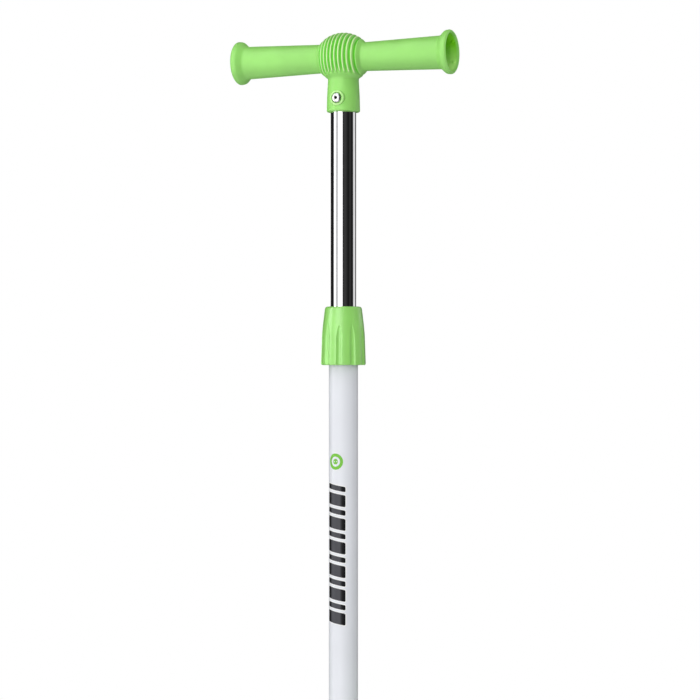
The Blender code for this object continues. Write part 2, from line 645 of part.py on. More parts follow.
def plunger_head(tube_inner_r):
    """Nylon cap: a skirt outside the tube's end, a spigot inside it and a closed top."""
    rim_z = PLUNGER_TOP_Z + GAP
    skirt_z = PLUNGER_TOP_Z - 28 * MM
    spigot_r = tube_inner_r - GAP
    return lathe(
        [
            (0, PLUNGER_TOP_Z - 20 * MM),
            (spigot_r, PLUNGER_TOP_Z - 20 * MM),
            (spigot_r, rim_z),
            (BUSH_BORE_R, rim_z),
            (BUSH_BORE_R, skirt_z),
            (BUSH_R, skirt_z),
            (BUSH_R, rim_z + 2.4 * MM),
            (BUSH_R - 1 * MM, rim_z + 3.4 * MM),
            (0, rim_z + 3.4 * MM),
        ]
    )


def spring_cup():
    """Steel cup under the spring, with a hub pinned to the plunger."""
    hub_r = BUSH_BORE_R + 4.6 * MM
    top = CUP_FLOOR_Z + SEAT_THICKNESS
    return lathe(
        [
            (BUSH_BORE_R, CUP_BOTTOM_Z),
            (hub_r, CUP_BOTTOM_Z),
            (hub_r, CUP_FLOOR_Z),
            (SEAT_R - 1.2 * MM, CUP_FLOOR_Z),
            (SEAT_R, CUP_FLOOR_Z + 1.2 * MM),
            (SEAT_R, top + SEAT_LIP_DEPTH),
            (SEAT_R - SEAT_LIP, top + SEAT_LIP_DEPTH),
            (SEAT_R - SEAT_LIP, top),
            (BUSH_BORE_R, top),
        ]
    )


def foot_tip():
    """Rubber foot: blind bore for the plunger, bell-shaped side, and a sole with one ring groove."""
    groove = 2.5 * MM
    profile = [(0, 0), (11 * MM, 0), (11 * MM, groove), (16 * MM, groove), (16 * MM, 0)]
    profile += [(TIP_R - 2 * MM, 0), (TIP_R, 2 * MM), (TIP_R, 9 * MM), (TIP_R - 1.5 * MM, 12 * MM)]
    profile += [(22.5 * MM, 19 * MM), (19.3 * MM, 28 * MM), (18 * MM, 38 * MM)]
    profile += [(18 * MM, TIP_HEIGHT - 1.5 * MM), (16.5 * MM, TIP_HEIGHT)]
    profile += [(BUSH_BORE_R, TIP_HEIGHT), (BUSH_BORE_R, TIP_SOLE), (0, TIP_SOLE)]
    return lathe(profile)


# ---------------------------------------------------------------- spring


def spring_height(turn_count):
    """Centre-line height after turn_count turns, from 0 to 1. The first and last turns are closed."""
    closed_rise = 2 * SPRING_WIRE_R + 0.6 * MM
    total = spring_rise()
    active_turns = SPRING_TURNS - 2
    active_rise = total - 2 * closed_rise
    if turn_count <= 1:
        return closed_rise * turn_count
    if turn_count >= SPRING_TURNS - 1:
        return total - closed_rise * (SPRING_TURNS - turn_count)
    return closed_rise + active_rise * (turn_count - 1) / active_turns


def spring_rise():
    low = CUP_FLOOR_Z + SEAT_THICKNESS + GAP + SPRING_WIRE_R
    high = SEAT_FLOOR_Z - GAP - SPRING_WIRE_R
    return high - low


def build_spring(steel):
    steps_per_turn = 12
    sides = 6
    steps = SPRING_TURNS * steps_per_turn
    low = CUP_FLOOR_Z + SEAT_THICKNESS + GAP + SPRING_WIRE_R
    bm = bmesh.new()
    sections = []
    for step in range(steps + 1):
        turns = step / steps_per_turn
        angle = math.tau * turns
        outward = Vector((math.cos(angle), math.sin(angle), 0))
        centre = SPRING_MEAN_R * outward + Vector((0, 0, low + spring_height(turns)))
        section = []
        for side in range(sides):
            phase = math.tau * side / sides
            offset = math.cos(phase) * outward + math.sin(phase) * Vector((0, 0, 1))
            section.append(bm.verts.new(centre + SPRING_WIRE_R * offset))
        sections.append(section)
    for first, second in zip(sections, sections[1:]):
        for i in range(sides):
            j = (i + 1) % sides
            bm.faces.new((first[i], first[j], second[j], second[i]))
    bm.faces.new(sections[0])
    bm.faces.new(reversed(sections[-1]))
    add_object("spring", bm, steel)


def main():
    clear_scene()
    green = make_material("green_plastic", (0.30, 0.74, 0.14), 0.45)
    green_rubber = make_material("green_rubber", (0.27, 0.68, 0.12), 0.6)
    chrome = make_material("chrome", (0.80, 0.80, 0.82), 0.08, 1.0)
    steel = make_material("zinc_steel", (0.62, 0.63, 0.66), 0.3, 1.0)
    paint = make_material("white_paint", (0.82, 0.84, 0.88), 0.35)
    black = make_material("black_nylon", (0.03, 0.03, 0.03), 0.5)
    rubber = make_material("black_rubber", (0.04, 0.04, 0.045), 0.75)
    build_handle(green, chrome, steel, black)
    build_collar(green, steel, black)
    build_frame(paint, steel, black)
    build_pedal(1, "right", paint, green_rubber, steel)
    build_pedal(-1, "left", paint, green_rubber, steel)
    build_plunger(chrome, steel, rubber, black)
    build_spring(steel)


main()
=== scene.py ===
"""The pogo stick's looks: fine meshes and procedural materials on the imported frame, in a pale studio."""

import json
from math import cos, hypot, pi, radians, sin, sqrt, tan, tau

import bmesh
import bpy
from mathutils import Matrix, Vector


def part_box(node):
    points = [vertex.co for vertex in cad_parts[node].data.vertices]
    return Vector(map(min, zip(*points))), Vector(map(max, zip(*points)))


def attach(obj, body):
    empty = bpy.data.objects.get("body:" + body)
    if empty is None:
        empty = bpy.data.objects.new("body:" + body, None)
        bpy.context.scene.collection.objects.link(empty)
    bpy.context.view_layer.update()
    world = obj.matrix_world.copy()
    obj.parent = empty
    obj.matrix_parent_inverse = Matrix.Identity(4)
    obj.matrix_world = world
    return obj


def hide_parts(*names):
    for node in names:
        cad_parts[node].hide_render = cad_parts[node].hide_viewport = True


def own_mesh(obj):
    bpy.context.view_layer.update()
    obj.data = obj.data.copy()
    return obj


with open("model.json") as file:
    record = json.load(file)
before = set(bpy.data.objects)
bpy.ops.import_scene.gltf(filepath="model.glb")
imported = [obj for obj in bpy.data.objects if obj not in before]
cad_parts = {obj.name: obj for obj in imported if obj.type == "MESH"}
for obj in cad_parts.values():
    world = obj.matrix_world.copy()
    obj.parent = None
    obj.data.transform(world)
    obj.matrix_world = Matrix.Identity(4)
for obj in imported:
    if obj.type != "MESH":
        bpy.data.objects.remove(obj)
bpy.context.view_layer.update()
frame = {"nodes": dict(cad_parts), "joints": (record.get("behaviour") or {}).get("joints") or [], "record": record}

MM = 0.001
ROUND = 128  # sides of a turned piece
FINE_ROUND = 240  # sides of the handle bar
SMALL_ROUND = 48  # sides of a bolt or a hole
ARC_STEPS = 4  # pieces of a rounded corner
SHARP = radians(38)  # edges sharper than this are drawn crisp

# Handle
BALL_R = 24.6 * MM
BALL_HALF_LENGTH = 28.0 * MM  # along the bar
RIB_PITCH = 4.03 * MM
RIB_DEPTH = 2.0 * MM
GROOVES_EACH_SIDE = 5
GRIP_START = 23.4 * MM
GRIP_R_INNER = 14.05 * MM
GRIP_R_OUTER = 16.2 * MM
FLANGE_R = 21.45 * MM
BORE_R = 11.7 * MM
NECK_R_TOP = 15.1 * MM
NECK_R_MIDDLE = 16.0 * MM
NECK_R_BOTTOM = 16.4 * MM
BOSS_R = 7.3 * MM
BOSS_REACH = 17.6 * MM  # bolt boss's face from the stem's axis
SEAT_REACH = 16.6 * MM  # face under the bolt head
RIBS_FADE_START = 17.4 * MM  # the ribs end around the neck, between these distances from the stem's axis
RIBS_FADE_END = 20.2 * MM
PIP_COUNT = 5
PIP_TURN = radians(44)  # first pip, from +Y towards +Z

# Collar
FLUTE_COUNT = 10
FLUTE_PHASE = radians(-6.75)
FLUTE_DEPTH = 1.45 * MM
FLUTE_HALF_WIDTH = radians(8.0)
FLUTE_START = 17.3 * MM  # below the collar's top
FLUTE_FULL = 33 * MM  # and at full size from here down

# Tube graphics
GRAPHIC_AZIMUTH = radians(-10.25)  # middle of the graphics, from the front towards -X
BAND_LOW = 419.6 * MM
BAND_HIGH = 558.4 * MM
BAND_WIDTH = 20.5 * MM
BAR_PAIRS = 6
BAR_SLANT = tan(radians(-10))
PRINT_THICKNESS = 0.03 * MM
EMBLEM_Z = 579.5 * MM
EMBLEM_R = 7.9 * MM

SPRING_TURNS = 12
SPRING_WIRE_R = 2.5 * MM
PEDAL_CORNER_R = 5 * MM
PAD_RIB_COUNT = 7

# Camera: level, a little to the right of the front
CAMERA_TURN = radians(22.75)
CAMERA_DISTANCE = 2.135
CAMERA_HEIGHT = 0.6885
CAMERA_LENS = 111.8
CAMERA_SHIFT = 0.0094


def middle(node):
    low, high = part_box(node)
    return (low + high) / 2


# Places that come from the frame
TEE_LOW, TEE_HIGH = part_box("handle_tee")
BALL_Z = TEE_HIGH.z - BALL_R
HALF_SPAN = TEE_HIGH.x
BOLT_Z = middle("handle_bolt").z
STEM_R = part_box("stem_tube")[1].x
MAIN_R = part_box("main_tube")[1].x
PIVOT_X, _, PIVOT_Z = middle("pivot_sleeve_right")


# ---- outlines


def arc(centre, radius, start_deg, end_deg, steps=ARC_STEPS * 3):
    angles = [radians(start_deg + (end_deg - start_deg) * i / steps) for i in range(steps + 1)]
    return [(centre[0] + radius * cos(a), centre[1] + radius * sin(a)) for a in angles]


def stops(start, end, pieces):
    """The points that divide the way from start to end into pieces, without start itself."""
    (a0, b0), (a1, b1) = start, end
    return [(a0 + (a1 - a0) * k / pieces, b0 + (b1 - b0) * k / pieces) for k in range(1, pieces + 1)]


def mm(points):
    """The outline's points, and their fillet radii, from millimetres to metres."""
    return [tuple(value * MM for value in point) for point in points]


def rounded(points, closed=True):
    """The outline with an arc at each corner whose third value is a fillet radius above 0."""
    result = []
    for i, point in enumerate(points):
        here = Vector(point[:2])
        ends = not closed and i in (0, len(points) - 1)
        if ends or not any(point[2:]):
            result.append(tuple(here))
            continue
        to_last = Vector(points[i - 1][:2]) - here
        to_next = Vector(points[(i + 1) % len(points)][:2]) - here
        half = to_last.angle(to_next) / 2
        reach = min(point[2] / tan(half), 0.49 * to_last.length, 0.49 * to_next.length)
        fillet = reach * tan(half)
        to_last.normalize()
        to_next.normalize()
        centre = here + (to_last + to_next).normalized() * fillet / sin(half)
        start = here + to_last * reach - centre
        end = here + to_next * reach - centre
        sweep = start.angle_signed(end)
        for step in range(ARC_STEPS + 1):
            turned = Matrix.Rotation(-sweep * step / ARC_STEPS, 2) @ start
            result.append(tuple(centre + turned))
    return result


# ---- mesh helpers


def grid_mesh(rings, closed):
    """Vertices and faces of rings of points joined in order. A ring of one point is a pole."""
    verts = [point for ring in rings for point in ring]
    starts = [sum(len(ring) for ring in rings[:i]) for i in range(len(rings))]
    count = max(len(ring) for ring in rings)
    faces = []
    for a in range(len(rings) if closed else len(rings) - 1):
        b = (a + 1) % len(rings)
        for i in range(count):
            j = (i + 1) % count
            corners = []
            for ring, index in ((a, i), (a, j), (b, j), (b, i)):
                vertex = starts[ring] + (index if len(rings[ring]) > 1 else 0)
                if vertex not in corners:
                    corners.append(vertex)
            faces.append(corners)
    return verts, faces


def revolve(profile, segments=ROUND, axis="Z", place=(0, 0, 0)):
    """Turns (radius, height) points about an axis. It is a loop unless it starts and ends on the axis."""
    place = Vector(place)
    rings = []
    for radius, height in profile:
        angles = turns(segments) if radius > 1e-7 else [0.0]
        ring = [(radius * cos(a), radius * sin(a), height) for a in angles]
        rings.append([along(point, axis) + place for point in ring])
    return grid_mesh(rings, closed=profile[0][0] > 1e-7)


def turns(count):
    """The angles that divide a full turn into count parts."""
    return [tau * i / count for i in range(count)]


def along(point, axis):
    """A point made for the Z axis, turned to X along +X or to Y along -Y."""
    x, y, z = point
    if axis == "X":
        return Vector((z, y, -x))
    if axis == "Y":
        return Vector((x, -z, y))
    return Vector(point)


def extruded(outline, low, high, plane="XZ"):
    """A block with an (x, z) outline between two y, or in plane XY an (x, y) outline between two z."""

    def point(a, b, depth):
        return (a, depth, b) if plane == "XZ" else (a, b, depth)

    count = len(outline)
    verts = [point(a, b, depth) for depth in (low, high) for a, b in outline]
    faces = [list(range(count)), list(range(2 * count - 1, count - 1, -1))]
    faces += [[i, (i + 1) % count, count + (i + 1) % count, count + i] for i in range(count)]
    return verts, faces


def solid(name, mesh_data):
    """A new object with its faces turned outwards and shaded smooth except at sharp edges."""
    verts, faces = mesh_data
    mesh = bpy.data.meshes.new(name)
    mesh.from_pydata([tuple(v) for v in verts], [], faces)
    bm = bmesh.new()
    bm.from_mesh(mesh)
    bmesh.ops.recalc_face_normals(bm, faces=bm.faces)
    bm.to_mesh(mesh)
    bm.free()
    obj = bpy.data.objects.new(name, mesh)
    bpy.context.scene.collection.objects.link(obj)
    shade(obj)
    return obj


def shade(obj):
    obj.data.shade_smooth()
    obj.data.set_sharp_from_angle(angle=SHARP)


def apply_modifiers(obj):
    bpy.context.view_layer.update()
    graph = bpy.context.evaluated_depsgraph_get()
    mesh = bpy.data.meshes.new_from_object(obj.evaluated_get(graph))
    obj.modifiers.clear()
    obj.data = mesh
    shade(obj)


def combine(target, *steps):
    """Applies (operation, mesh data) steps to target with Boolean modifiers."""
    tools = []
    for operation, mesh_data in steps:
        tool = solid("tool", mesh_data)
        modifier = target.modifiers.new("combine", "BOOLEAN")
        modifier.operation = operation
        modifier.solver = "MANIFOLD"
        modifier.object = tool
        tools.append(tool)
    apply_modifiers(target)
    for tool in tools:
        bpy.data.objects.remove(tool, do_unlink=True)


def soften(obj, width, segments):
    """Rounds the sharper edges."""
    modifier = obj.modifiers.new("soften", "BEVEL")
    modifier.limit_method = "ANGLE"
    modifier.angle_limit = radians(50)
    modifier.width = width
    modifier.segments = segments
    modifier.use_clamp_overlap = True
    apply_modifiers(obj)


def mirrored(mesh_data, side):
    """The mesh data itself for side 1, or its mirror image across x = 0 for side -1."""
    verts, faces = mesh_data
    return [(side * v[0], v[1], v[2]) for v in verts], faces


def dress(obj, slot, body, *nodes, material=None):
    """Gives a finished piece its slot's material or another and its CAD body, and hides the CAD nodes it stands
    for.
    """
    obj.data.materials.clear()
    obj.data.materials.append(material or MATERIALS[slot])
    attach(obj, body)
    if nodes:
        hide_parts(*nodes)
    return obj


def smoothstep(low, high, value):
    share = min(max((value - low) / (high - low), 0.0), 1.0)
    return share * share * (3 - 2 * share)


# ---- material helpers


class Nodes:
    """Short names for adding nodes to a material's or a world's tree."""

    def __init__(self, tree):
        self.tree = tree

    def node(self, kind, *values, **settings):
        """A new node with settings, fed with values in the order of its inputs."""
        made = self.tree.nodes.new(kind)
        for key, value in settings.items():
            setattr(made, key, value)
        for socket, value in zip(made.inputs, values):
            self.feed(socket, value)
        return made

    def feed(self, socket, value):
        if isinstance(value, bpy.types.NodeSocket):
            self.tree.links.new(value, socket)
        else:
            socket.default_value = value

    def math(self, operation, a, b=0.0):
        return self.node("ShaderNodeMath", a, b, operation=operation).outputs[0]

    def times(self, a, b):
        return self.math("MULTIPLY", a, b)

    def plus(self, a, b):
        return self.math("ADD", a, b)

    def span(self, value, low, high, out_low=0.0, out_high=1.0, **settings):
        """Value moved from the range low to high into another range, clamped."""
        return self.node("ShaderNodeMapRange", value, low, high, out_low, out_high, **settings).outputs[0]

    def dot(self, first, second):
        return self.node("ShaderNodeVectorMath", first, second, operation="DOT_PRODUCT").outputs["Value"]


class Finish(Nodes):
    """A Principled material whose nodes use the object's own coordinates, in metres."""

    def __init__(self, name, **settings):
        self.material = bpy.data.materials.new(name)
        self.material.use_nodes = True
        super().__init__(self.material.node_tree)
        self.shader = self.tree.nodes["Principled BSDF"]
        self.set(**settings)
        self.place = self.node("ShaderNodeTexCoord").outputs["Object"]

    def noise(self, size, detail, stretch=(1, 1, 1)):
        """Noise whose features are about size across, from 0 to 1. Stretch shortens it along an axis."""
        texture = self.node("ShaderNodeTexNoise", self.scaled(Vector(stretch) / size))
        texture.inputs["Scale"].default_value = 1.0
        texture.inputs["Detail"].default_value = detail
        return texture.outputs[0]

    def cells(self, size):
        """Distance to the nearest of a field of random points about size apart, from 0 to 1."""
        texture = self.node("ShaderNodeTexVoronoi", self.scaled((1 / size,) * 3))
        texture.inputs["Scale"].default_value = 1.0
        return texture.outputs["Distance"]

    def scaled(self, scale):
        mapping = self.node("ShaderNodeMapping", self.place)
        mapping.inputs["Scale"].default_value = scale
        return mapping.outputs[0]

    def axes(self):
        """The three coordinates of the point on the object."""
        return self.node("ShaderNodeSeparateXYZ", self.place).outputs

    def distance(self, a, b):
        return self.math("SQRT", self.plus(self.times(a, a), self.times(b, b)))

    def blend(self, share, first, second):
        made = self.node("ShaderNodeMix", data_type="RGBA")
        self.feed(made.inputs["Factor"], share)
        self.feed(made.inputs["A"], (*first, 1.0) if isinstance(first, tuple) else first)
        self.feed(made.inputs["B"], (*second, 1.0) if isinstance(second, tuple) else second)
        return made.outputs["Result"]

    def corners(self, radius):
        """The normal as if every edge was rounded to radius."""
        return self.node("ShaderNodeBevel", radius, samples=4).outputs[0]

    def edges(self, normal):
        """1 on edges and 0 elsewhere, from the rounded normal."""
        return self.span(self.dot(self.node("ShaderNodeNewGeometry").outputs["Normal"], normal), 0.99, 0.86)

    def bump(self, height, depth, normal=None):
        made = self.node("ShaderNodeBump", 1.0, depth)
        self.feed(made.inputs["Height"], height)
        if normal is not None:
            self.feed(made.inputs["Normal"], normal)
        return made.outputs[0]

    def set(self, **sockets):
        for key, value in sockets.items():
            self.feed(self.shader.inputs[key.replace("_", " ")], value)
        return self.material

    def look(self, colour, roughness, normal):
        return self.set(Base_Color=colour, Roughness=roughness, Normal=normal)


# ---- materials


def moulded_plastic(name, base, rough, grain, corner=0.6 * MM):
    """Injection-moulded plastic: cloudy colour, satin gloss that varies, fine grain, and patchy pale edges that
    are partly rubbed wear and partly a painted sheen.
    """
    finish = Finish(name, Metallic=0.0)
    cloud = finish.noise(35 * MM, 3.0)
    speck = finish.noise(0.9 * MM, 2.0)
    deep = tuple(c * 0.93 for c in base)
    pale = tuple(min(c * 1.05 + 0.006, 1.0) for c in base)
    colour = finish.blend(finish.span(cloud, 0.3, 0.7), deep, pale)
    round_normal = finish.corners(corner)
    # Painted sheen with some wear: edges made paler in patches.
    edge_marks = finish.times(finish.edges(round_normal), finish.span(speck, 0.35, 0.75, 0.0, 0.35))
    colour = finish.blend(edge_marks, colour, tuple(c + (1 - c) * 0.25 for c in base))
    smear = finish.noise(14 * MM, 4.0, (1, 1, 0.4))
    roughness = finish.span(smear, 0.25, 0.75, rough - 0.05, rough + 0.06)
    grain_height = finish.plus(speck, finish.noise(0.35 * MM, 1.0))
    finish.set(Roughness=roughness, Normal=finish.bump(grain_height, grain, round_normal))
    return finish, colour


GREEN = (0.308, 0.735, 0.148)


def rib_mask(finish):
    """1 on the crests of the ball's ribs, 0 in the valleys, and 0.5 wherever there are no ribs."""
    x, y, z = finish.axes()
    wave = finish.math("COSINE", finish.times(x, tau / RIB_PITCH))
    end = (GROOVES_EACH_SIDE - 0.1) * RIB_PITCH
    on_ball = finish.span(finish.math("ABSOLUTE", x), end, end + 0.4 * MM, 1.0, 0.0)
    from_neck = finish.span(finish.distance(x, y), RIBS_FADE_START, RIBS_FADE_END)
    above = finish.span(z, BALL_Z - 0.5 * MM, BALL_Z + 0.5 * MM)
    share = finish.times(on_ball, finish.math("MAXIMUM", from_neck, above))
    return finish.plus(finish.times(finish.times(wave, share), 0.5), 0.5)


def hollow_mask(finish):
    """1 on the walls inside the grips' open ends and 0 outside, and the height above the bar's axis."""
    x, y, z = finish.axes()
    up = finish.math("SUBTRACT", z, BALL_Z)
    reach = finish.math("ABSOLUTE", x)
    start_r = GRIP_R_INNER - 0.1 * MM
    limit = finish.span(reach, HALF_SPAN - 13 * MM, HALF_SPAN, start_r, start_r + 5.9 * MM)
    inside = finish.math("LESS_THAN", finish.distance(y, up), limit)
    inside = finish.times(inside, finish.math("GREATER_THAN", reach, GRIP_START + 3 * MM))
    return finish.times(inside, finish.span(reach, HALF_SPAN - 0.8 * MM, HALF_SPAN - 3 * MM)), up


def boss_rim_highlight_mask(finish):
    """1 on the rounded rims of the bolt's bosses, which get a painted highlight."""
    x, y, z = finish.axes()
    radius = finish.distance(x, finish.math("SUBTRACT", z, BOLT_Z))
    off = finish.math("ABSOLUTE", finish.math("SUBTRACT", radius, BOSS_R - 0.8 * MM))
    out = finish.span(finish.math("ABSOLUTE", y), BOSS_REACH - 1.6 * MM, BOSS_REACH - 0.7 * MM)
    return finish.times(finish.span(off, 1.1 * MM, 0.5 * MM), out)


def green_plastic(name, rough, shine, coat=0.0, ribbed=False):
    """Lime green moulding. With ribs, the ribs' crests get a painted highlight and their valleys painted shade,
    the open ends' insides painted light at the bottom and painted shade at the top, and the bosses' rims a painted
    highlight.
    """
    finish, colour = moulded_plastic(name, GREEN, rough, 0.010 * MM)
    if ribbed:
        inside, up = hollow_mask(finish)
        # Painted light and shade inside the open ends: paler towards the bottom, deeper green towards the top.
        deep = finish.blend(finish.span(up, -11 * MM, 9 * MM), (0.55, 1.0, 0.26), (0.21, 0.72, 0.01))
        colour = finish.blend(inside, colour, deep)
        # Painted highlight: the bosses' rounded rims are made paler.
        colour = finish.blend(finish.times(boss_rim_highlight_mask(finish), 0.8), colour, (0.62, 0.96, 0.40))
        shine = finish.span(inside, 0.0, 1.0, shine, 0.2)
        # Painted highlight on the ribs' crests and painted shade in their valleys.
        rib_light_and_shade = rib_mask(finish)
        colour = finish.blend(finish.span(rib_light_and_shade, 0.40, 0.0), colour, (0.10, 0.64, 0.005))
        colour = finish.blend(finish.span(rib_light_and_shade, 0.80, 1.0), colour, (0.80, 1.0, 0.54))
    return finish.set(
        Base_Color=colour,
        Specular_IOR_Level=shine,
        Coat_Weight=coat,
        Coat_Roughness=0.26,
        Subsurface_Weight=0.08,
        Subsurface_Radius=(0.4 * MM, 1.0 * MM, 0.25 * MM),
        Subsurface_Scale=1.0,
    )


def green_rubber():
    finish, colour = moulded_plastic("green_rubber", (0.230, 0.640, 0.095), 0.58, 0.03 * MM)
    return finish.set(Base_Color=colour, Sheen_Weight=0.15)


def black_nylon():
    finish, colour = moulded_plastic("black_nylon", (0.022, 0.022, 0.024), 0.45, 0.015 * MM, 0.3 * MM)
    return finish.set(Base_Color=colour)


def black_rubber():
    """Rubber with a dusty bloom, heavier towards the ground, and a fine pebble grain."""
    finish, colour = moulded_plastic("black_rubber", (0.019, 0.019, 0.021), 0.66, 0.04 * MM, 0.5 * MM)
    low_down = finish.span(finish.axes()[2], 0.0, 22 * MM, 0.65, 0.10)
    dust = finish.times(finish.span(finish.noise(6 * MM, 5.0), 0.42, 0.68), low_down)
    colour = finish.blend(dust, colour, (0.13, 0.118, 0.10))
    return finish.set(Base_Color=colour, Specular_IOR_Level=0.3, Sheen_Weight=0.1)


def white_paint():
    """Powder coat: faint orange peel, a cool white that varies a little, and chips on worn edges."""
    finish = Finish("white_paint", Metallic=0.0, Specular_IOR_Level=0.53)
    cloud = finish.noise(60 * MM, 2.0)
    colour = finish.blend(finish.span(cloud, 0.3, 0.7), (0.745, 0.760, 0.800), (0.780, 0.795, 0.835))
    normal = finish.corners(0.6 * MM)
    chips = finish.span(finish.noise(2.2 * MM, 3.0), 0.60, 0.66)
    edge_marks = finish.times(finish.edges(normal), chips)
    colour = finish.blend(edge_marks, colour, (0.33, 0.33, 0.34))
    peel = finish.noise(1.6 * MM, 1.0)
    grain = finish.cells(0.5 * MM)
    height = finish.plus(peel, finish.times(grain, 0.25))
    roughness = finish.span(finish.noise(20 * MM, 4.0), 0.25, 0.75, 0.36, 0.46)
    return finish.look(colour, roughness, finish.bump(height, 0.012 * MM, normal))


def chrome():
    """Bright plating: near mirror, with faint draw lines along the tube and a slight waviness."""
    finish = Finish("chrome", Metallic=1.0)
    lines = finish.noise(2.2 * MM, 1.0, (1, 1, 0.004))
    wave = finish.noise(40 * MM, 1.0, (1, 1, 0.35))
    haze = finish.noise(9 * MM, 5.0)
    colour = finish.blend(finish.span(haze, 0.3, 0.7), (0.86, 0.86, 0.87), (0.93, 0.93, 0.94))
    roughness = finish.span(haze, 0.3, 0.8, 0.02, 0.06)
    height = finish.plus(finish.times(lines, 0.012), wave)
    return finish.look(colour, roughness, finish.bump(height, 0.05 * MM))


def zinc_steel():
    """Bright zinc plating with a brushed grain and a faint warm and blue cast."""
    finish = Finish("zinc_steel", Metallic=1.0)
    cast = finish.noise(8 * MM, 3.0)
    colour = finish.blend(finish.span(cast, 0.3, 0.7), (0.66, 0.68, 0.72), (0.75, 0.74, 0.71))
    brushed = finish.noise(0.5 * MM, 2.0, (1, 1, 0.08))
    roughness = finish.span(brushed, 0.2, 0.8, 0.20, 0.36)
    normal = finish.corners(0.4 * MM)
    return finish.look(colour, roughness, finish.bump(brushed, 0.01 * MM, normal))


def key_recess_shade():
    """Painted shade: a near-black colour for the walls of a key recess, standing in for the shade deep inside it.
    """
    finish = Finish("key_recess_shade", Metallic=0.0)
    lumps = finish.noise(0.5 * MM, 3.0)
    colour = finish.blend(finish.span(lumps, 0.3, 0.7), (0.004, 0.004, 0.004), (0.010, 0.010, 0.009))
    return finish.look(colour, 0.7, finish.bump(lumps, 0.05 * MM))


def spring_steel():
    """Drawn wire, zinc plated: grey, with fine lines, duller patches and rubbed bright spots."""
    finish = Finish("spring_steel", Metallic=1.0)
    patch = finish.noise(5 * MM, 4.0)
    colour = finish.blend(finish.span(patch, 0.35, 0.65), (0.46, 0.47, 0.50), (0.66, 0.67, 0.69))
    fine = finish.noise(0.4 * MM, 3.0)
    roughness = finish.span(patch, 0.3, 0.7, 0.38, 0.24)
    return finish.look(colour, roughness, finish.bump(fine, 0.008 * MM))


def ink(name, base, rough, middle_colour=None):
    """Printed ink on the tube. A middle colour makes the band paler there, with fine print lines."""
    finish = Finish(name, Metallic=0.0, Specular_IOR_Level=0.22)
    speck = finish.noise(1.2 * MM, 3.0)
    colour = finish.blend(finish.span(speck, 0.3, 0.7), tuple(c * 0.88 for c in base), base)
    if middle_colour:
        x, y, _ = finish.axes()
        angle = finish.math("ARCTAN2", x, finish.times(y, -1.0))
        off = finish.math("ABSOLUTE", finish.math("SUBTRACT", angle, GRAPHIC_AZIMUTH))
        middle = finish.span(off, radians(27), radians(18), 0.0, 1.0)
        lines = finish.math("SINE", finish.times(angle, 190.0))
        share = finish.times(middle, finish.span(lines, -1.0, 1.0, 0.72, 1.0))
        colour = finish.blend(share, colour, middle_colour)
    roughness = finish.span(speck, 0.2, 0.8, rough - 0.05, rough + 0.08)
    return finish.look(colour, roughness, finish.bump(speck, 0.006 * MM))


# The material of each slot, and two more for the collar and the painted shade in the bolts' key recesses
PLAIN = (green_rubber, black_nylon, black_rubber, white_paint, chrome, zinc_steel, spring_steel, key_recess_shade)
MATERIALS = {make.__name__: make() for make in PLAIN}
MATERIALS["green_plastic"] = green_plastic("green_plastic", 0.50, 1.0, ribbed=True)
MATERIALS["green_plastic_polished"] = green_plastic("green_plastic_polished", 0.38, 1.0, coat=0.8)


def finish_cad_nodes():
    """The CAD nodes that stay, such as the pieces inside, get the same finishes as their slots."""
    slots = {entry["node"]: entry["material_slot"] for entry in frame["record"]["subparts"]}
    for name, obj in frame["nodes"].items():
        obj.data.materials.clear()
        obj.data.materials.append(MATERIALS[slots[name]])


def piece(name, mesh_data, slot, body, *nodes, material=None):
    return dress(solid(name, mesh_data), slot, body, *nodes, material=material)


# ---- handle


def ball_radius(x):
    return BALL_R * sqrt(1 - (x / BALL_HALF_LENGTH) ** 2)


def rib_groove(x):
    """Depth of the grooves: broad rounded crests at every pitch, with narrower valleys between them."""
    wave = 0.5 - 0.5 * cos(tau * x / RIB_PITCH)
    return RIB_DEPTH * wave**1.4


def ball_rows():
    """(x, radius, groove depth, pips) rows of the ribbed ball, from left to right."""
    per_groove = 26
    count = GROOVES_EACH_SIDE * per_groove
    step = RIB_PITCH / per_groove
    return [(i * step, ball_radius(i * step), rib_groove(i * step), 0) for i in range(-count, count + 1)]


def grip_rows():
    """The right grip: shoulder, outside, rolled flange, and the inside back to the hollow's blind end."""
    edge = GROOVES_EACH_SIDE * RIB_PITCH
    shoulder = [edge + share * (GRIP_START - 0.7 * MM - edge) for share in (0.2, 0.4, 0.6, 0.8)]
    outside = [(x, ball_radius(x)) for x in shoulder]
    span, grip, flange = HALF_SPAN / MM, GRIP_R_OUTER / MM, FLANGE_R / MM
    rim = [(span - 11, grip, 4.5), (span - 5.8, flange - 0.4, 3.3), (span - 1.6, flange + 0.05, 2.2)]
    rim += [(span, flange - 1.7, 0.8), (span - 0.4, flange - 2.7, 0.5), (span - 2.2, flange - 3.4)]
    start = [outside[-1], (GRIP_START, GRIP_R_INNER, 3.5 * MM)]
    outside += rounded(start + mm(rim), closed=False)[1:]
    hollow = [(span - 7.5, flange - 5.9, 5), (span - 13, grip - 2.4, 5), (30, BORE_R / MM, 2), (28, 0)]
    inside = rounded([outside[-1]] + mm(hollow), closed=False)
    rows = [(x, radius, 0.0, 0) for x, radius in outside]
    for start, end in zip(inside, inside[1:]):
        pieces = max(1, min(12, round((start[0] - end[0]) / (0.5 * MM))))
        rows += [(x, radius, 0.0, 1) for x, radius in stops(start, end, pieces)]
    return rows


def pip_height(x, angle):
    """Small round bumps inside the open end, in a ring."""
    centre = HALF_SPAN - 4.4 * MM
    spacing = tau / PIP_COUNT
    off = (angle - PIP_TURN + spacing / 2) % spacing - spacing / 2
    reach = hypot(abs(x) - centre, off * 16 * MM) / (1.6 * MM)
    return 1.5 * MM * max(0.0, 1 - reach**2)


def rib_fade(x, radius, angle):
    """1 where the grooves are at full depth, and 0 on the smooth patch around the neck."""
    if sin(angle) > 0:
        return 1.0
    return smoothstep(RIBS_FADE_START, RIBS_FADE_END, hypot(x, radius * cos(angle)))


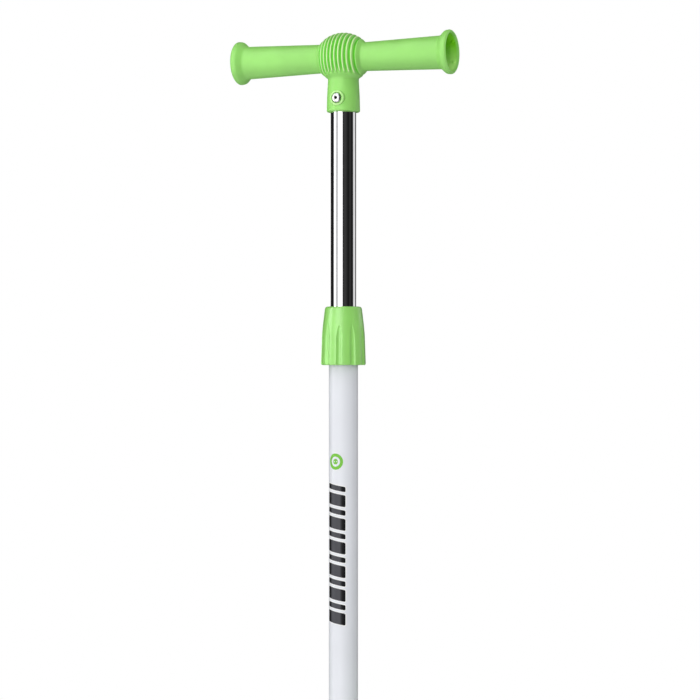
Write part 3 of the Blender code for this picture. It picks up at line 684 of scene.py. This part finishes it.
def bar_mesh():
    right = grip_rows()
    left = [(-x, *rest) for x, *rest in reversed(right)]
    rings = []
    for x, radius, groove, pips in left + ball_rows() + right:
        if radius < 1e-7:
            rings.append([Vector((x, 0, BALL_Z))])
            continue
        ring = []
        for angle in turns(FINE_ROUND):
            r = radius
            if groove:
                r -= groove * rib_fade(x, radius, angle)
            if pips:
                r -= pip_height(x, angle)
            ring.append(Vector((x, r * cos(angle), BALL_Z + r * sin(angle))))
        rings.append(ring)
    return grid_mesh(rings, closed=False)


def neck_mesh():
    """The neck, with a small fillet into the ball at its top and a rounded lower rim."""
    low = TEE_LOW.z
    outline = [
        (0, low), (NECK_R_BOTTOM, low, 1.3 * MM), (NECK_R_MIDDLE, BALL_Z - 37.5 * MM, 60 * MM),
        (NECK_R_TOP, BALL_Z - 21.3 * MM, 2.5 * MM), (NECK_R_TOP + 2.2 * MM, BALL_Z - 17.0 * MM),
        (0, BALL_Z - 12 * MM),
    ]
    return revolve(rounded(outline, closed=False))


def boss_mesh(sign):
    """The raised round pad around the bolt's head, or for sign -1 the nut, with a well rounded rim."""
    outline = [
        (0, sign * 9 * MM), (BOSS_R + 0.7 * MM, sign * 9 * MM), (BOSS_R + 0.4 * MM, sign * 14.8 * MM),
        (BOSS_R, sign * BOSS_REACH, 1.3 * MM), (0, sign * BOSS_REACH),
    ]
    return revolve(rounded(outline, closed=False), SMALL_ROUND * 2, "Y", (0, 0, BOLT_Z))


def rod_mesh(radius, start, end, axis="Z", place=(0, 0, 0), segments=ROUND):
    return revolve([(0, start), (radius, start), (radius, end), (0, end)], segments, axis, place)


def hex_mesh(across_flats, start, end, axis="Y", place=(0, 0, 0)):
    return rod_mesh(across_flats / sqrt(3), start, end, axis, place, segments=6)


def build_handle():
    tee = solid("handle_tee_fine", bar_mesh())
    bolt_place = (0, 0, BOLT_Z)
    past = BOSS_REACH + 3 * MM
    combine(
        tee,
        ("UNION", neck_mesh()),
        ("UNION", boss_mesh(1)),
        ("UNION", boss_mesh(-1)),
        ("DIFFERENCE", rod_mesh(STEM_R + 0.3 * MM, TEE_LOW.z - 5 * MM, BALL_Z + 4.5 * MM)),
        ("DIFFERENCE", rod_mesh(5.3 * MM, SEAT_REACH, past, "Y", bolt_place, SMALL_ROUND)),
        ("DIFFERENCE", hex_mesh(8.7 * MM, -past, -SEAT_REACH, "Y", bolt_place)),
        ("DIFFERENCE", rod_mesh(2.8 * MM, -past, past, "Y", bolt_place, SMALL_ROUND)),
    )
    dress(tee, "green_plastic", "handle", "handle_tee")
    build_bolt("handle_bolt", "handle", 2.5 * MM, 4.8 * MM, 2.8 * MM, 3.0 * MM)
    build_nut("handle_nut", "handle", 8.0 * MM)


def build_bolt(node, body, shank_r, head_r, head_h, key):
    """A button-head bolt whose head faces the front, with a hexagonal key recess painted near black as shade."""
    low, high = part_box(node)
    place = middle(node) * Vector((1, 0, 1))
    top = -low.y
    seat = top - head_h
    end = -high.y
    outline = [
        (0, end), (shank_r - 0.4 * MM, end), (shank_r, end + 0.6 * MM), (shank_r, seat),
        (head_r - 0.1 * MM, seat, 0.2 * MM), (head_r, seat + 0.35 * head_h, 0.5 * MM),
    ]
    dome_angles = [radians(angle) for angle in (12, 24, 36, 48, 58)]
    dome = [(head_r * cos(a), seat + head_h * (0.35 + 0.65 * sin(a))) for a in dome_angles]
    outline = rounded(outline, closed=False) + dome + [(0, top)]
    bolt = solid(node + "_fine", revolve(outline, SMALL_ROUND, "Y", place))
    combine(bolt, ("DIFFERENCE", hex_mesh(key, top - 0.75 * head_h, top + 2 * MM, "Y", place)))
    dress(bolt, "zinc_steel", body, node)
    # Painted shade: the key recess's walls get a second, near-black material.
    bolt.data.materials.append(MATERIALS["key_recess_shade"])
    for face in bolt.data.polygons:
        off_axis = hypot(face.center.x - place.x, face.center.z - place.z)
        if off_axis < 0.58 * key and face.center.y > -top + 0.02 * MM and face.center.y < -seat:
            face.material_index = 1


def build_nut(node, body, flats):
    """A hexagonal nut with chamfered corners and a countersunk hole."""
    low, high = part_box(node)
    place = middle(node) * Vector((1, 0, 1))
    start, end = -high.y, -low.y
    corner_r = flats / sqrt(3)
    barrel = [
        (0, start), (flats / 2 * 0.96, start), (corner_r + 0.1 * MM, start + 0.14 * flats),
        (corner_r + 0.1 * MM, end + 1 * MM), (0, end + 1 * MM),
    ]
    hole_r = 0.35 * flats
    bore = [
        (0, start - 1 * MM), (hole_r + 1.4 * MM, start - 1 * MM), (hole_r, start + 0.4 * MM),
        (hole_r, end + 1 * MM), (0, end + 1 * MM),
    ]
    nut = solid(node + "_fine", hex_mesh(flats, start, end, "Y", place))
    combine(
        nut,
        ("INTERSECT", revolve(barrel, SMALL_ROUND, "Y", place)),
        ("DIFFERENCE", revolve(bore, SMALL_ROUND, "Y", place)),
    )
    dress(nut, "zinc_steel", body, node)


def build_tube(node, wall, rim, inner_rim, slot, body):
    low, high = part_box(node)
    outside, inside = high.x, high.x - wall
    outline = [(inside, low.z, inner_rim), (outside, low.z, rim)]
    outline += [(outside, high.z, rim), (inside, high.z, inner_rim)]
    piece(node + "_fine", revolve(rounded(outline)), slot, body, node)


# ---- collar


COLLAR_LOW, COLLAR_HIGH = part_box("lock_collar")


def collar_outline():
    """(distance below the top, radius) points of the outside, from the stem hole round to the lower bore."""
    corners = [(STEM_R / MM + 0.5, 0), (17.9, 0, 3.2), (20.05, 17.5, 60), (21.0, 28.0, 60)]
    corners += [(22.0, 57.4, 1.4), (17.9, 57.4)]
    return [(below, radius) for radius, below in rounded(mm(corners), closed=False)]


def flute_depth(angle, below):
    """Depth of the nearest flute: pointed at its top end, then widening to full size."""
    grown = min(max((below - FLUTE_START) / (FLUTE_FULL - FLUTE_START), 0.0), 1.0)
    spacing = tau / FLUTE_COUNT
    off = abs((angle - FLUTE_PHASE + spacing / 2) % spacing - spacing / 2)
    half_width = FLUTE_HALF_WIDTH * sin(pi / 2 * grown) ** 0.8 + 1e-9
    if off >= half_width:
        return 0.0
    return FLUTE_DEPTH * grown**0.6 * cos(pi / 2 * off / half_width) ** 0.8


def collar_mesh():
    outline = collar_outline()
    dense = [outline[0]]
    for start, end in zip(outline, outline[1:]):
        dense += stops(start, end, max(1, round((end[0] - start[0]) / (0.7 * MM))))
    inner = mm([(24.2, 17.9), (23.4, 17.5), (7.6, 15.5), (6.8, STEM_R / MM + 0.5)])
    columns = FLUTE_COUNT * 40
    rings = []
    for index, (below, radius) in enumerate(dense + inner):
        fluted = index < len(dense) and radius > 18.5 * MM
        ring = []
        for turn in turns(columns):
            angle = FLUTE_PHASE + turn
            r = radius - (flute_depth(angle, below) if fluted else 0.0)
            ring.append(Vector((r * cos(angle), r * sin(angle), COLLAR_HIGH.z - below)))
        rings.append(ring)
    return grid_mesh(rings, closed=True)


# ---- the main tube's graphics


def on_tube(across, height, lift):
    """The point at an arc distance across from the graphics' middle, at a height, lift off the tube."""
    angle = GRAPHIC_AZIMUTH + across / MAIN_R
    reach = MAIN_R + lift
    return Vector((reach * sin(angle), -reach * cos(angle), height))


def wrapped_patch(columns, lift):
    """A thin closed skin on the tube from (across, low, high) columns."""
    verts, faces = [], []
    foot = lift - PRINT_THICKNESS
    for across, low, high in columns:
        verts += [on_tube(across, low, lift), on_tube(across, high, lift)]
        verts += [on_tube(across, high, foot), on_tube(across, low, foot)]
    for i in range(len(columns) - 1):
        a, b = 4 * i, 4 * i + 4
        faces += [[a + k, b + k, b + (k + 1) % 4, a + (k + 1) % 4] for k in range(4)]
    faces.append([0, 1, 2, 3])
    end = 4 * (len(columns) - 1)
    faces.append([end + 3, end + 2, end + 1, end])
    return verts, faces


def merged(parts):
    verts, faces = [], []
    for part_verts, part_faces in parts:
        faces += [[index + len(verts) for index in face] for face in part_faces]
        verts += part_verts
    return verts, faces


def bar_patch(low, high, grow, lift):
    """A slanted bar across the band with rounded ends, grown on every side by grow."""
    half = BAND_WIDTH / 2 + grow
    corner = 1.3 * MM + grow
    steps = 36
    columns = []
    for i in range(steps + 1):
        across = -half * cos(pi * i / steps)
        inside = half - abs(across)
        cut = corner - sqrt(max(corner**2 - (corner - inside) ** 2, 0)) if inside < corner else 0
        cut = min(cut, (high - low) / 2 + grow - 0.05 * MM)
        skew = across * BAR_SLANT
        columns.append((across, low - grow + cut + skew, high + grow - cut + skew))
    return wrapped_patch(columns, lift)


def band_bars():
    """(low, high) of each bar: pairs of a thick and a thin bar, repeated up the band."""
    slant_reach = BAND_WIDTH / 2 * abs(BAR_SLANT)
    low, high = BAND_LOW + slant_reach, BAND_HIGH - slant_reach
    pitch = (high - low) / (BAR_PAIRS - 0.14)
    bars = []
    for i in range(BAR_PAIRS):
        start = low + i * pitch
        bars.append((start, start + 0.50 * pitch))
        bars.append((start + 0.64 * pitch, start + 0.86 * pitch))
    return bars


def disc_patch(outer, inner, lift):
    """A flat ring wrapped onto the tube, or a disc if inner is 0."""
    rings = []
    foot = lift - PRINT_THICKNESS
    for radius, height in ((outer, lift), (outer, foot), (inner, foot), (inner, lift)):
        angles = turns(64) if radius else [0.0]
        rings.append([on_tube(radius * cos(a), EMBLEM_Z + radius * sin(a), height) for a in angles])
    return grid_mesh(rings, closed=bool(inner))


def build_graphics():
    """Plain bars with a pale outline and a green ring with a dot, in place of printed decoration."""
    pale = ink("pale_ink", (0.90, 0.90, 0.90), 0.45)
    dark = ink("dark_ink", (0.004, 0.004, 0.005), 0.40, (0.070, 0.070, 0.080))
    green = ink("green_ink", (0.20, 0.56, 0.06), 0.35)
    margin = 1.0 * MM
    under, over = 0.04 * MM, 0.08 * MM  # how far the two layers stand off the tube
    outline_bars = merged([bar_patch(low, high, margin, under) for low, high in band_bars()])
    dark_bars = merged([bar_patch(low, high, 0.0, over) for low, high in band_bars()])
    disc = disc_patch(EMBLEM_R + margin, 0, under)
    mark = merged([disc_patch(EMBLEM_R, 4.9 * MM, over), disc_patch(2.7 * MM, 0, over)])
    piece("tube_bar_outlines", outline_bars, "white_paint", "frame", material=pale)
    piece("tube_bars", dark_bars, "black_nylon", "frame", material=dark)
    piece("tube_mark_outline", disc, "white_paint", "frame", material=pale)
    piece("tube_mark", mark, "green_plastic", "frame", material=green)


# ---- bracket and pedals


BRACKET_LOW, BRACKET_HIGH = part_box("foot_bracket")
BRACKET_TOP_Z = 300 * MM
BRACKET_HALF_WIDTH = BRACKET_HIGH.y
SHEET = 3 * MM


def build_bracket():
    ear = arc((PIVOT_X, PIVOT_Z), BRACKET_HIGH.x - PIVOT_X, -100, 55, 24)
    right = [(16 * MM, PIVOT_Z - 15 * MM)] + ear + [(28 * MM, BRACKET_TOP_Z)]
    outline = right + [(-x, z) for x, z in reversed(right)]
    web_z = BRACKET_TOP_Z - SHEET
    reach = 70 * MM
    web_x = 28 * MM
    inside = [(-reach, web_z - reach), (reach, web_z - reach), (reach, web_z + reach), (web_x, web_z + reach)]
    inside += [(web_x, web_z), (-web_x, web_z), (-web_x, web_z + reach), (-reach, web_z + reach)]
    inner_y = BRACKET_HALF_WIDTH - SHEET
    bracket = solid("foot_bracket_fine", extruded(outline, -BRACKET_HALF_WIDTH, BRACKET_HALF_WIDTH))
    soften(bracket, 1.6 * MM, 4)
    combine(bracket, ("DIFFERENCE", extruded(inside, -inner_y, inner_y)))
    sleeve = [
        (0, BRACKET_LOW.z), (MAIN_R + 3.2 * MM, BRACKET_LOW.z, 0.6 * MM),
        (MAIN_R + 3.2 * MM, BRACKET_TOP_Z - 0.4 * MM), (MAIN_R + 3.2 * MM, BRACKET_HIGH.z, 0.8 * MM),
        (0, BRACKET_HIGH.z),
    ]
    steps = [("UNION", revolve(rounded(sleeve, closed=False)))]
    steps.append(("DIFFERENCE", rod_mesh(MAIN_R + 0.3 * MM, BRACKET_LOW.z - 5 * MM, BRACKET_HIGH.z + 5 * MM)))
    for side in (1, -1):
        pivot_hole = rod_mesh(3.3 * MM, -40 * MM, 40 * MM, "Y", (side * PIVOT_X, 0, PIVOT_Z), SMALL_ROUND)
        steps.append(("DIFFERENCE", pivot_hole))
    combine(bracket, *steps)
    dress(bracket, "white_paint", "frame", "foot_bracket")
    build_weld()


def build_weld():
    """The rippled weld bead around the sleeve, under the same paint as the bracket."""
    centre_r = MAIN_R + 4.2 * MM
    ripples = 42
    rings = []
    for turn in turns(12):
        ring = []
        for angle in turns(ROUND * 2):
            bead = 1.5 * MM + 0.16 * MM * cos(ripples * angle + 0.8 * sin(3 * angle))
            radius = centre_r + bead * cos(turn)
            height = BRACKET_TOP_Z + bead * sin(turn)
            ring.append(Vector((radius * cos(angle), radius * sin(angle), height)))
        rings.append(ring)
    piece("bracket_weld", grid_mesh(rings, closed=True), "white_paint", "frame")


def tip_plan(start_x, tip_x, half_width, corner_r=PEDAL_CORNER_R):
    """The (x, y) outline of a pedal seen from above, with two rounded corners at its tip."""
    corner_x = tip_x - corner_r
    corner_y = half_width - corner_r
    front = arc((corner_x, -corner_y), corner_r, -90, 0)
    back = arc((corner_x, corner_y), corner_r, 0, 90)
    return [(start_x, -half_width), *front, *back, (start_x, half_width)]


def build_pedal(side, label):
    body = f"pedal_{label}"
    low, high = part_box(body)
    half_width = high.y
    heel_x, tip_x = sorted((abs(low.x), abs(high.x)))
    top_z = high.z
    wall = 2.5 * MM
    plan = extruded(tip_plan(heel_x - 4 * MM, tip_x, half_width), low.z - 9 * MM, top_z + 9 * MM, "XY")
    heel = arc((PIVOT_X, PIVOT_Z), 9 * MM, 200, 270)
    profile = [(heel_x, top_z - 5 * MM), *heel]
    profile += rounded(
        [
            (PIVOT_X + 2 * MM, PIVOT_Z - 9 * MM), (64 * MM, PIVOT_Z - 8.5 * MM, 40 * MM),
            (tip_x - 12 * MM, top_z - 11 * MM, 20 * MM), (tip_x + 3 * MM, top_z - 7.5 * MM),
        ],
        closed=False,
    )
    profile += [(tip_x + 3 * MM, top_z), (heel_x, top_z)]
    pedal = solid(body + "_fine", mirrored(plan, side))
    wide = half_width + 3 * MM
    combine(pedal, ("INTERSECT", mirrored(extruded(profile, -wide, wide), side)))
    soften(pedal, 1.8 * MM, 4)
    inner = half_width - wall
    channel_plan = tip_plan(heel_x - 9 * MM, tip_x - wall, inner, PEDAL_CORNER_R - wall)
    channel = extruded(channel_plan, low.z - 12 * MM, top_z - SHEET, "XY")
    sleeve_hole = rod_mesh(5.1 * MM, -wide, wide, "Y", (side * PIVOT_X, 0, PIVOT_Z), SMALL_ROUND)
    combine(pedal, ("DIFFERENCE", mirrored(channel, side)), ("DIFFERENCE", sleeve_hole))
    dress(pedal, "white_paint", body, body)
    build_pad(side, label, body)


def build_pad(side, label, body):
    """The tread: rounded ribs across the foot and a raised outer lip."""
    node = f"pedal_pad_{label}"
    low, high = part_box(node)
    start_x, tip_x = sorted((abs(low.x), abs(high.x)))
    half_width = high.y
    base_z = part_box(body)[1].z + 0.3 * MM
    floor_z = base_z + 3.2 * MM
    rib_z = floor_z + 2.6 * MM
    lip_z = high.z
    profile = [(start_x, base_z), (tip_x + 3 * MM, base_z), (tip_x + 3 * MM, lip_z), (tip_x - 5 * MM, lip_z)]
    profile.append((tip_x - 8 * MM, floor_z))
    pitch = (tip_x - 10 * MM - start_x) / PAD_RIB_COUNT
    for rib in reversed(range(PAD_RIB_COUNT)):
        start = start_x + rib * pitch
        stop = start + 0.62 * pitch
        profile += [(stop, floor_z), (stop - 0.4 * MM, rib_z), (start + 0.4 * MM, rib_z)]
        profile.append((start, floor_z if rib else base_z + 0.5 * MM))
    plan = tip_plan(start_x - 3 * MM, tip_x, half_width)
    pad = solid(node + "_fine", mirrored(extruded(plan, base_z - 5 * MM, lip_z + 5 * MM, "XY"), side))
    wide = half_width + 3 * MM
    combine(pad, ("INTERSECT", mirrored(extruded(profile, -wide, wide), side)))
    soften(pad, 0.7 * MM, 3)
    dress(pad, "green_rubber", body, node)


# ---- spring and foot


def build_spring_seat():
    low, high = (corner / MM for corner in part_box("spring_seat"))
    rim = high.x
    floor = low.z + 7.7
    sleeve_r = MAIN_R / MM + 0.3
    outline = [
        (11.7, floor, 0.3), (rim - 1.8, floor, 1.2), (rim - 1.8, low.z, 0.7), (rim, low.z, 0.8),
        (rim, floor + 3.0, 2.2), (sleeve_r + 3.0, floor + 3.0, 2.0), (sleeve_r + 2.4, high.z, 1.0),
        (sleeve_r, high.z, 0.4), (sleeve_r, floor + 3.3, 0.2), (11.7, floor + 3.3, 0.2),
    ]
    piece("spring_seat_fine", revolve(rounded(mm(outline))), "zinc_steel", "frame", "spring_seat")


def build_spring_cup():
    low, high = (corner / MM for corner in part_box("spring_cup"))
    rim = high.x
    floor = high.z - 7.7
    under = floor - 3.3
    bore = 11.4
    hub = bore + 4.6
    outline = [
        (bore, low.z, 0.4), (hub, low.z, 1.0), (hub, under, 1.5), (rim, under, 2.4), (rim, high.z, 0.8),
        (rim - 1.8, high.z, 0.7), (rim - 1.8, floor, 1.2), (bore, floor, 0.3),
    ]
    cup = solid("spring_cup_fine", revolve(rounded(mm(outline))))
    combine(cup, ("DIFFERENCE", rod_mesh(2.3 * MM, -30 * MM, 30 * MM, "Y", middle("cup_pin"), SMALL_ROUND)))
    dress(cup, "zinc_steel", "plunger", "spring_cup")


def spring_centre_line(rise):
    """(turns done, height) along the wire: closed end turns, and even coils between them."""
    closed_rise = 2 * SPRING_WIRE_R + 0.6 * MM
    active = (rise - 2 * closed_rise) / (SPRING_TURNS - 2)
    per_turn = 56
    line = []
    for i in range(SPRING_TURNS * per_turn + 1):
        done = i / per_turn
        if done <= 1:
            height = closed_rise * done
        elif done >= SPRING_TURNS - 1:
            height = rise - closed_rise * (SPRING_TURNS - done)
        else:
            height = closed_rise + active * (done - 1)
        line.append((done, height))
    return line


def build_spring():
    low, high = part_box("spring")
    bottom = low.z + SPRING_WIRE_R
    rise = high.z - low.z - 2 * SPRING_WIRE_R
    mean_r = 20 * MM
    sides = 20
    upward = Vector((0, 0, 1))
    rings = []
    for done, height in spring_centre_line(rise):
        angle = tau * done
        outward = Vector((cos(angle), sin(angle), 0))
        centre = mean_r * outward + Vector((0, 0, bottom + height))
        around = [cos(phase) * outward + sin(phase) * upward for phase in turns(sides)]
        rings.append([centre + SPRING_WIRE_R * direction for direction in around])
    first = sum(rings[0], Vector()) / sides
    last = sum(rings[-1], Vector()) / sides
    wire = grid_mesh([[first]] + rings + [[last]], closed=False)
    spring = piece("spring_fine", wire, "spring_steel", "frame", "spring")
    stroke = max(next(j for j in frame["joints"] if j["name"] == "plunger_stroke")["range_m"])
    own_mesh(spring)


def build_foot():
    """The rubber foot: a bell with two bands round its neck, a ribbed skirt and ring grooves under it."""
    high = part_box("foot_tip")[1] / MM
    edge, top = high.x, high.z
    bore = 11.4
    outline = [(0, 0), (11, 0, 0.6), (11.6, 2.5), (15.4, 2.5), (16, 0, 0.6), (edge - 6, 0, 0.6)]
    outline += [(edge - 5.5, 1.6), (edge - 4, 1.6), (edge - 3.5, 0, 0.6), (edge - 0.8, 0, 1.2)]
    for ridge in range(3):
        z = 2.6 + ridge * 2.9
        outline += [(edge - 0.1 * ridge, z, 0.5), (edge - 0.1 * ridge, z + 1.7, 0.5)]
        outline += [(edge - 1.1, z + 2.1, 0.3), (edge - 1.1, z + 2.6, 0.3)]
    outline += [(edge - 1.6, 12, 2), (21.5, 20, 14), (18.6, 33, 14)]
    for band in range(2):
        z = 37 + band * 5.2
        outline += [(18.0, z, 0.6), (18.9, z + 0.6, 0.6), (18.9, z + 2.8, 0.6), (18.0, z + 3.4, 0.6)]
    outline += [(17.9, top - 0.8, 0.8), (16.6, top, 0.8), (bore, top, 0.5), (bore, 12), (0, 12)]
    piece("foot_tip_fine", revolve(rounded(mm(outline), closed=False)), "black_rubber", "plunger", "foot_tip")


# ---- stage: floor, light and camera


FACING = Vector((sin(CAMERA_TURN), -cos(CAMERA_TURN), 0))  # from the object to the camera
RIGHTWARD = Vector((cos(CAMERA_TURN), sin(CAMERA_TURN), 0))

# What polished metal reflects: (degrees to the right of the camera, brightness), from left to right
STUDIO_BANDS = (
    (-180, 0.02), (-95, 0.01), (-93, 3.20), (-73, 3.20), (-71, 0.40), (-52, 0.40), (-50, 2.40),
    (-30, 2.20), (-10, 1.60), (-8, 0.03), (15, 0.045), (45, 0.008), (65, 0.035), (82, 0.010),
    (99, 0.03), (101, 0.75), (132, 0.80), (136, 0.05), (180, 0.02),
)
BRIGHTEST_BAND = 3.2
REFLECTION_HIGH = 0.8  # share left overhead and underneath
AMBIENT = 0.25


def build_world():
    """White to the camera, banded softboxes to reflections, and an even fill to diffuse light."""
    world = bpy.data.worlds.new("studio")
    bpy.context.scene.world = world
    world.use_nodes = True
    world.node_tree.nodes.clear()
    nodes = Nodes(world.node_tree)
    direction = nodes.node("ShaderNodeTexCoord").outputs["Generated"]
    turn = nodes.math("ARCTAN2", nodes.dot(direction, RIGHTWARD), nodes.dot(direction, FACING))
    bands = nodes.node("ShaderNodeValToRGB", nodes.span(turn, -pi, pi))
    ramp = bands.color_ramp
    while len(ramp.elements) < len(STUDIO_BANDS):
        ramp.elements.new(0.5)
    for element, (degrees, brightness) in zip(ramp.elements, STUDIO_BANDS):
        element.position = (degrees + 180) / 360
        element.color = (brightness / BRIGHTEST_BAND,) * 3 + (1.0,)
    lift = nodes.math("ABSOLUTE", nodes.dot(direction, (0, 0, 1)))
    high = BRIGHTEST_BAND * REFLECTION_HIGH
    strength = nodes.span(lift, 0.45, 0.80, BRIGHTEST_BAND, high, interpolation_type="SMOOTHSTEP")
    reflection = nodes.node("ShaderNodeBackground", bands.outputs[0], strength)
    fill = nodes.node("ShaderNodeBackground", (0.97, 0.98, 1.0, 1.0), AMBIENT)
    backdrop = nodes.node("ShaderNodeBackground", (1.0, 1.0, 1.0, 1.0))
    rays = nodes.node("ShaderNodeLightPath").outputs
    lit = nodes.node("ShaderNodeMixShader", rays["Is Glossy Ray"], fill.outputs[0], reflection.outputs[0])
    seen = nodes.node("ShaderNodeMixShader", rays["Is Camera Ray"], lit.outputs[0], backdrop.outputs[0])
    nodes.node("ShaderNodeOutputWorld", seen.outputs[0])


def area_light(name, turn_deg, height, distance, size, power, target_z=0.62):
    """A soft light turned to the right of the camera by turn_deg, aimed at the stick's axis."""
    turn = radians(turn_deg)
    target = Vector((0, 0, target_z))
    light = bpy.data.lights.new(name, "AREA")
    light.shape = "RECTANGLE"
    light.size, light.size_y = size
    light.energy = power
    obj = bpy.data.objects.new(name, light)
    obj.location = (FACING * cos(turn) + RIGHTWARD * sin(turn)) * distance + Vector((0, 0, height))
    obj.rotation_euler = (target - obj.location).to_track_quat("-Z", "Y").to_euler()
    obj.visible_glossy = False
    obj.visible_camera = False
    bpy.context.scene.collection.objects.link(obj)


def build_floor():
    """A pale round floor that fades into the white backdrop."""
    radius = 2.2
    floor = solid("floor", revolve([(0, 0), (radius, 0)], 96, place=(0, 0, -0.2 * MM)))
    finish = Finish("floor_paper", Roughness=0.85)
    tone = finish.span(finish.noise(0.25, 3.0), 0.3, 0.7)
    finish.set(Base_Color=finish.blend(tone, (0.80, 0.80, 0.81), (0.84, 0.84, 0.85)))
    finish.set(Normal=finish.bump(finish.noise(2 * MM, 3.0), 0.05 * MM))
    reach = finish.node("ShaderNodeVectorMath", finish.place, operation="LENGTH").outputs["Value"]
    clear = finish.node("ShaderNodeBsdfTransparent").outputs[0]
    mix = finish.node("ShaderNodeMixShader", finish.span(reach, 0.45, 1.7), finish.shader.outputs[0], clear)
    finish.feed(finish.tree.nodes["Material Output"].inputs["Surface"], mix.outputs[0])
    floor.data.materials.append(finish.material)


def build_camera():
    data = bpy.data.cameras.new("camera")
    data.lens = CAMERA_LENS
    data.sensor_width = 36
    data.shift_x = CAMERA_SHIFT
    camera = bpy.data.objects.new("camera", data)
    camera.location = FACING * CAMERA_DISTANCE + Vector((0, 0, CAMERA_HEIGHT))
    camera.rotation_euler = (-FACING).to_track_quat("-Z", "Y").to_euler()
    bpy.context.scene.collection.objects.link(camera)
    bpy.context.scene.camera = camera


def build_stage():
    build_world()
    build_floor()
    area_light("key", -18, 0.85, 2.4, (1.5, 2.2), 22.5)
    area_light("left", -100, 0.85, 2.4, (1.0, 2.2), 12)
    area_light("right", 72, 1.60, 2.4, (1.0, 2.0), 17)
    area_light("top", -40, 2.4, 1.1, (1.4, 1.0), 12.5)
    area_light("low", -28, 0.06, 1.5, (1.6, 0.3), 6.5, target_z=1.0)
    area_light("back", 180, 1.0, 2.4, (2.4, 2.0), 22)
    build_camera()
    view = bpy.context.scene.view_settings
    view.view_transform = "Standard"
    view.look = "None"


def main():
    finish_cad_nodes()
    build_handle()
    polished = MATERIALS["green_plastic_polished"]
    piece("lock_collar_fine", collar_mesh(), "green_plastic", "collar", "lock_collar", material=polished)
    build_tube("stem_tube", 1.5 * MM, 0.35 * MM, 0.35 * MM, "chrome", "handle")
    build_tube("main_tube", 1.4 * MM, 0.4 * MM, 0.4 * MM, "white_paint", "frame")
    build_graphics()
    build_bracket()
    for side, label in ((1, "right"), (-1, "left")):
        build_pedal(side, label)
        build_bolt(f"pivot_bolt_{label}", "frame", 3.0 * MM, 5.2 * MM, 3.3 * MM, 4.0 * MM)
        build_nut(f"pivot_nut_{label}", "frame", 10.0 * MM)
    build_spring_seat()
    build_spring_cup()
    build_spring()
    build_tube("plunger_tube", 2 * MM, 0.4 * MM, 0.0, "chrome", "plunger")
    build_foot()
    build_stage()


main()
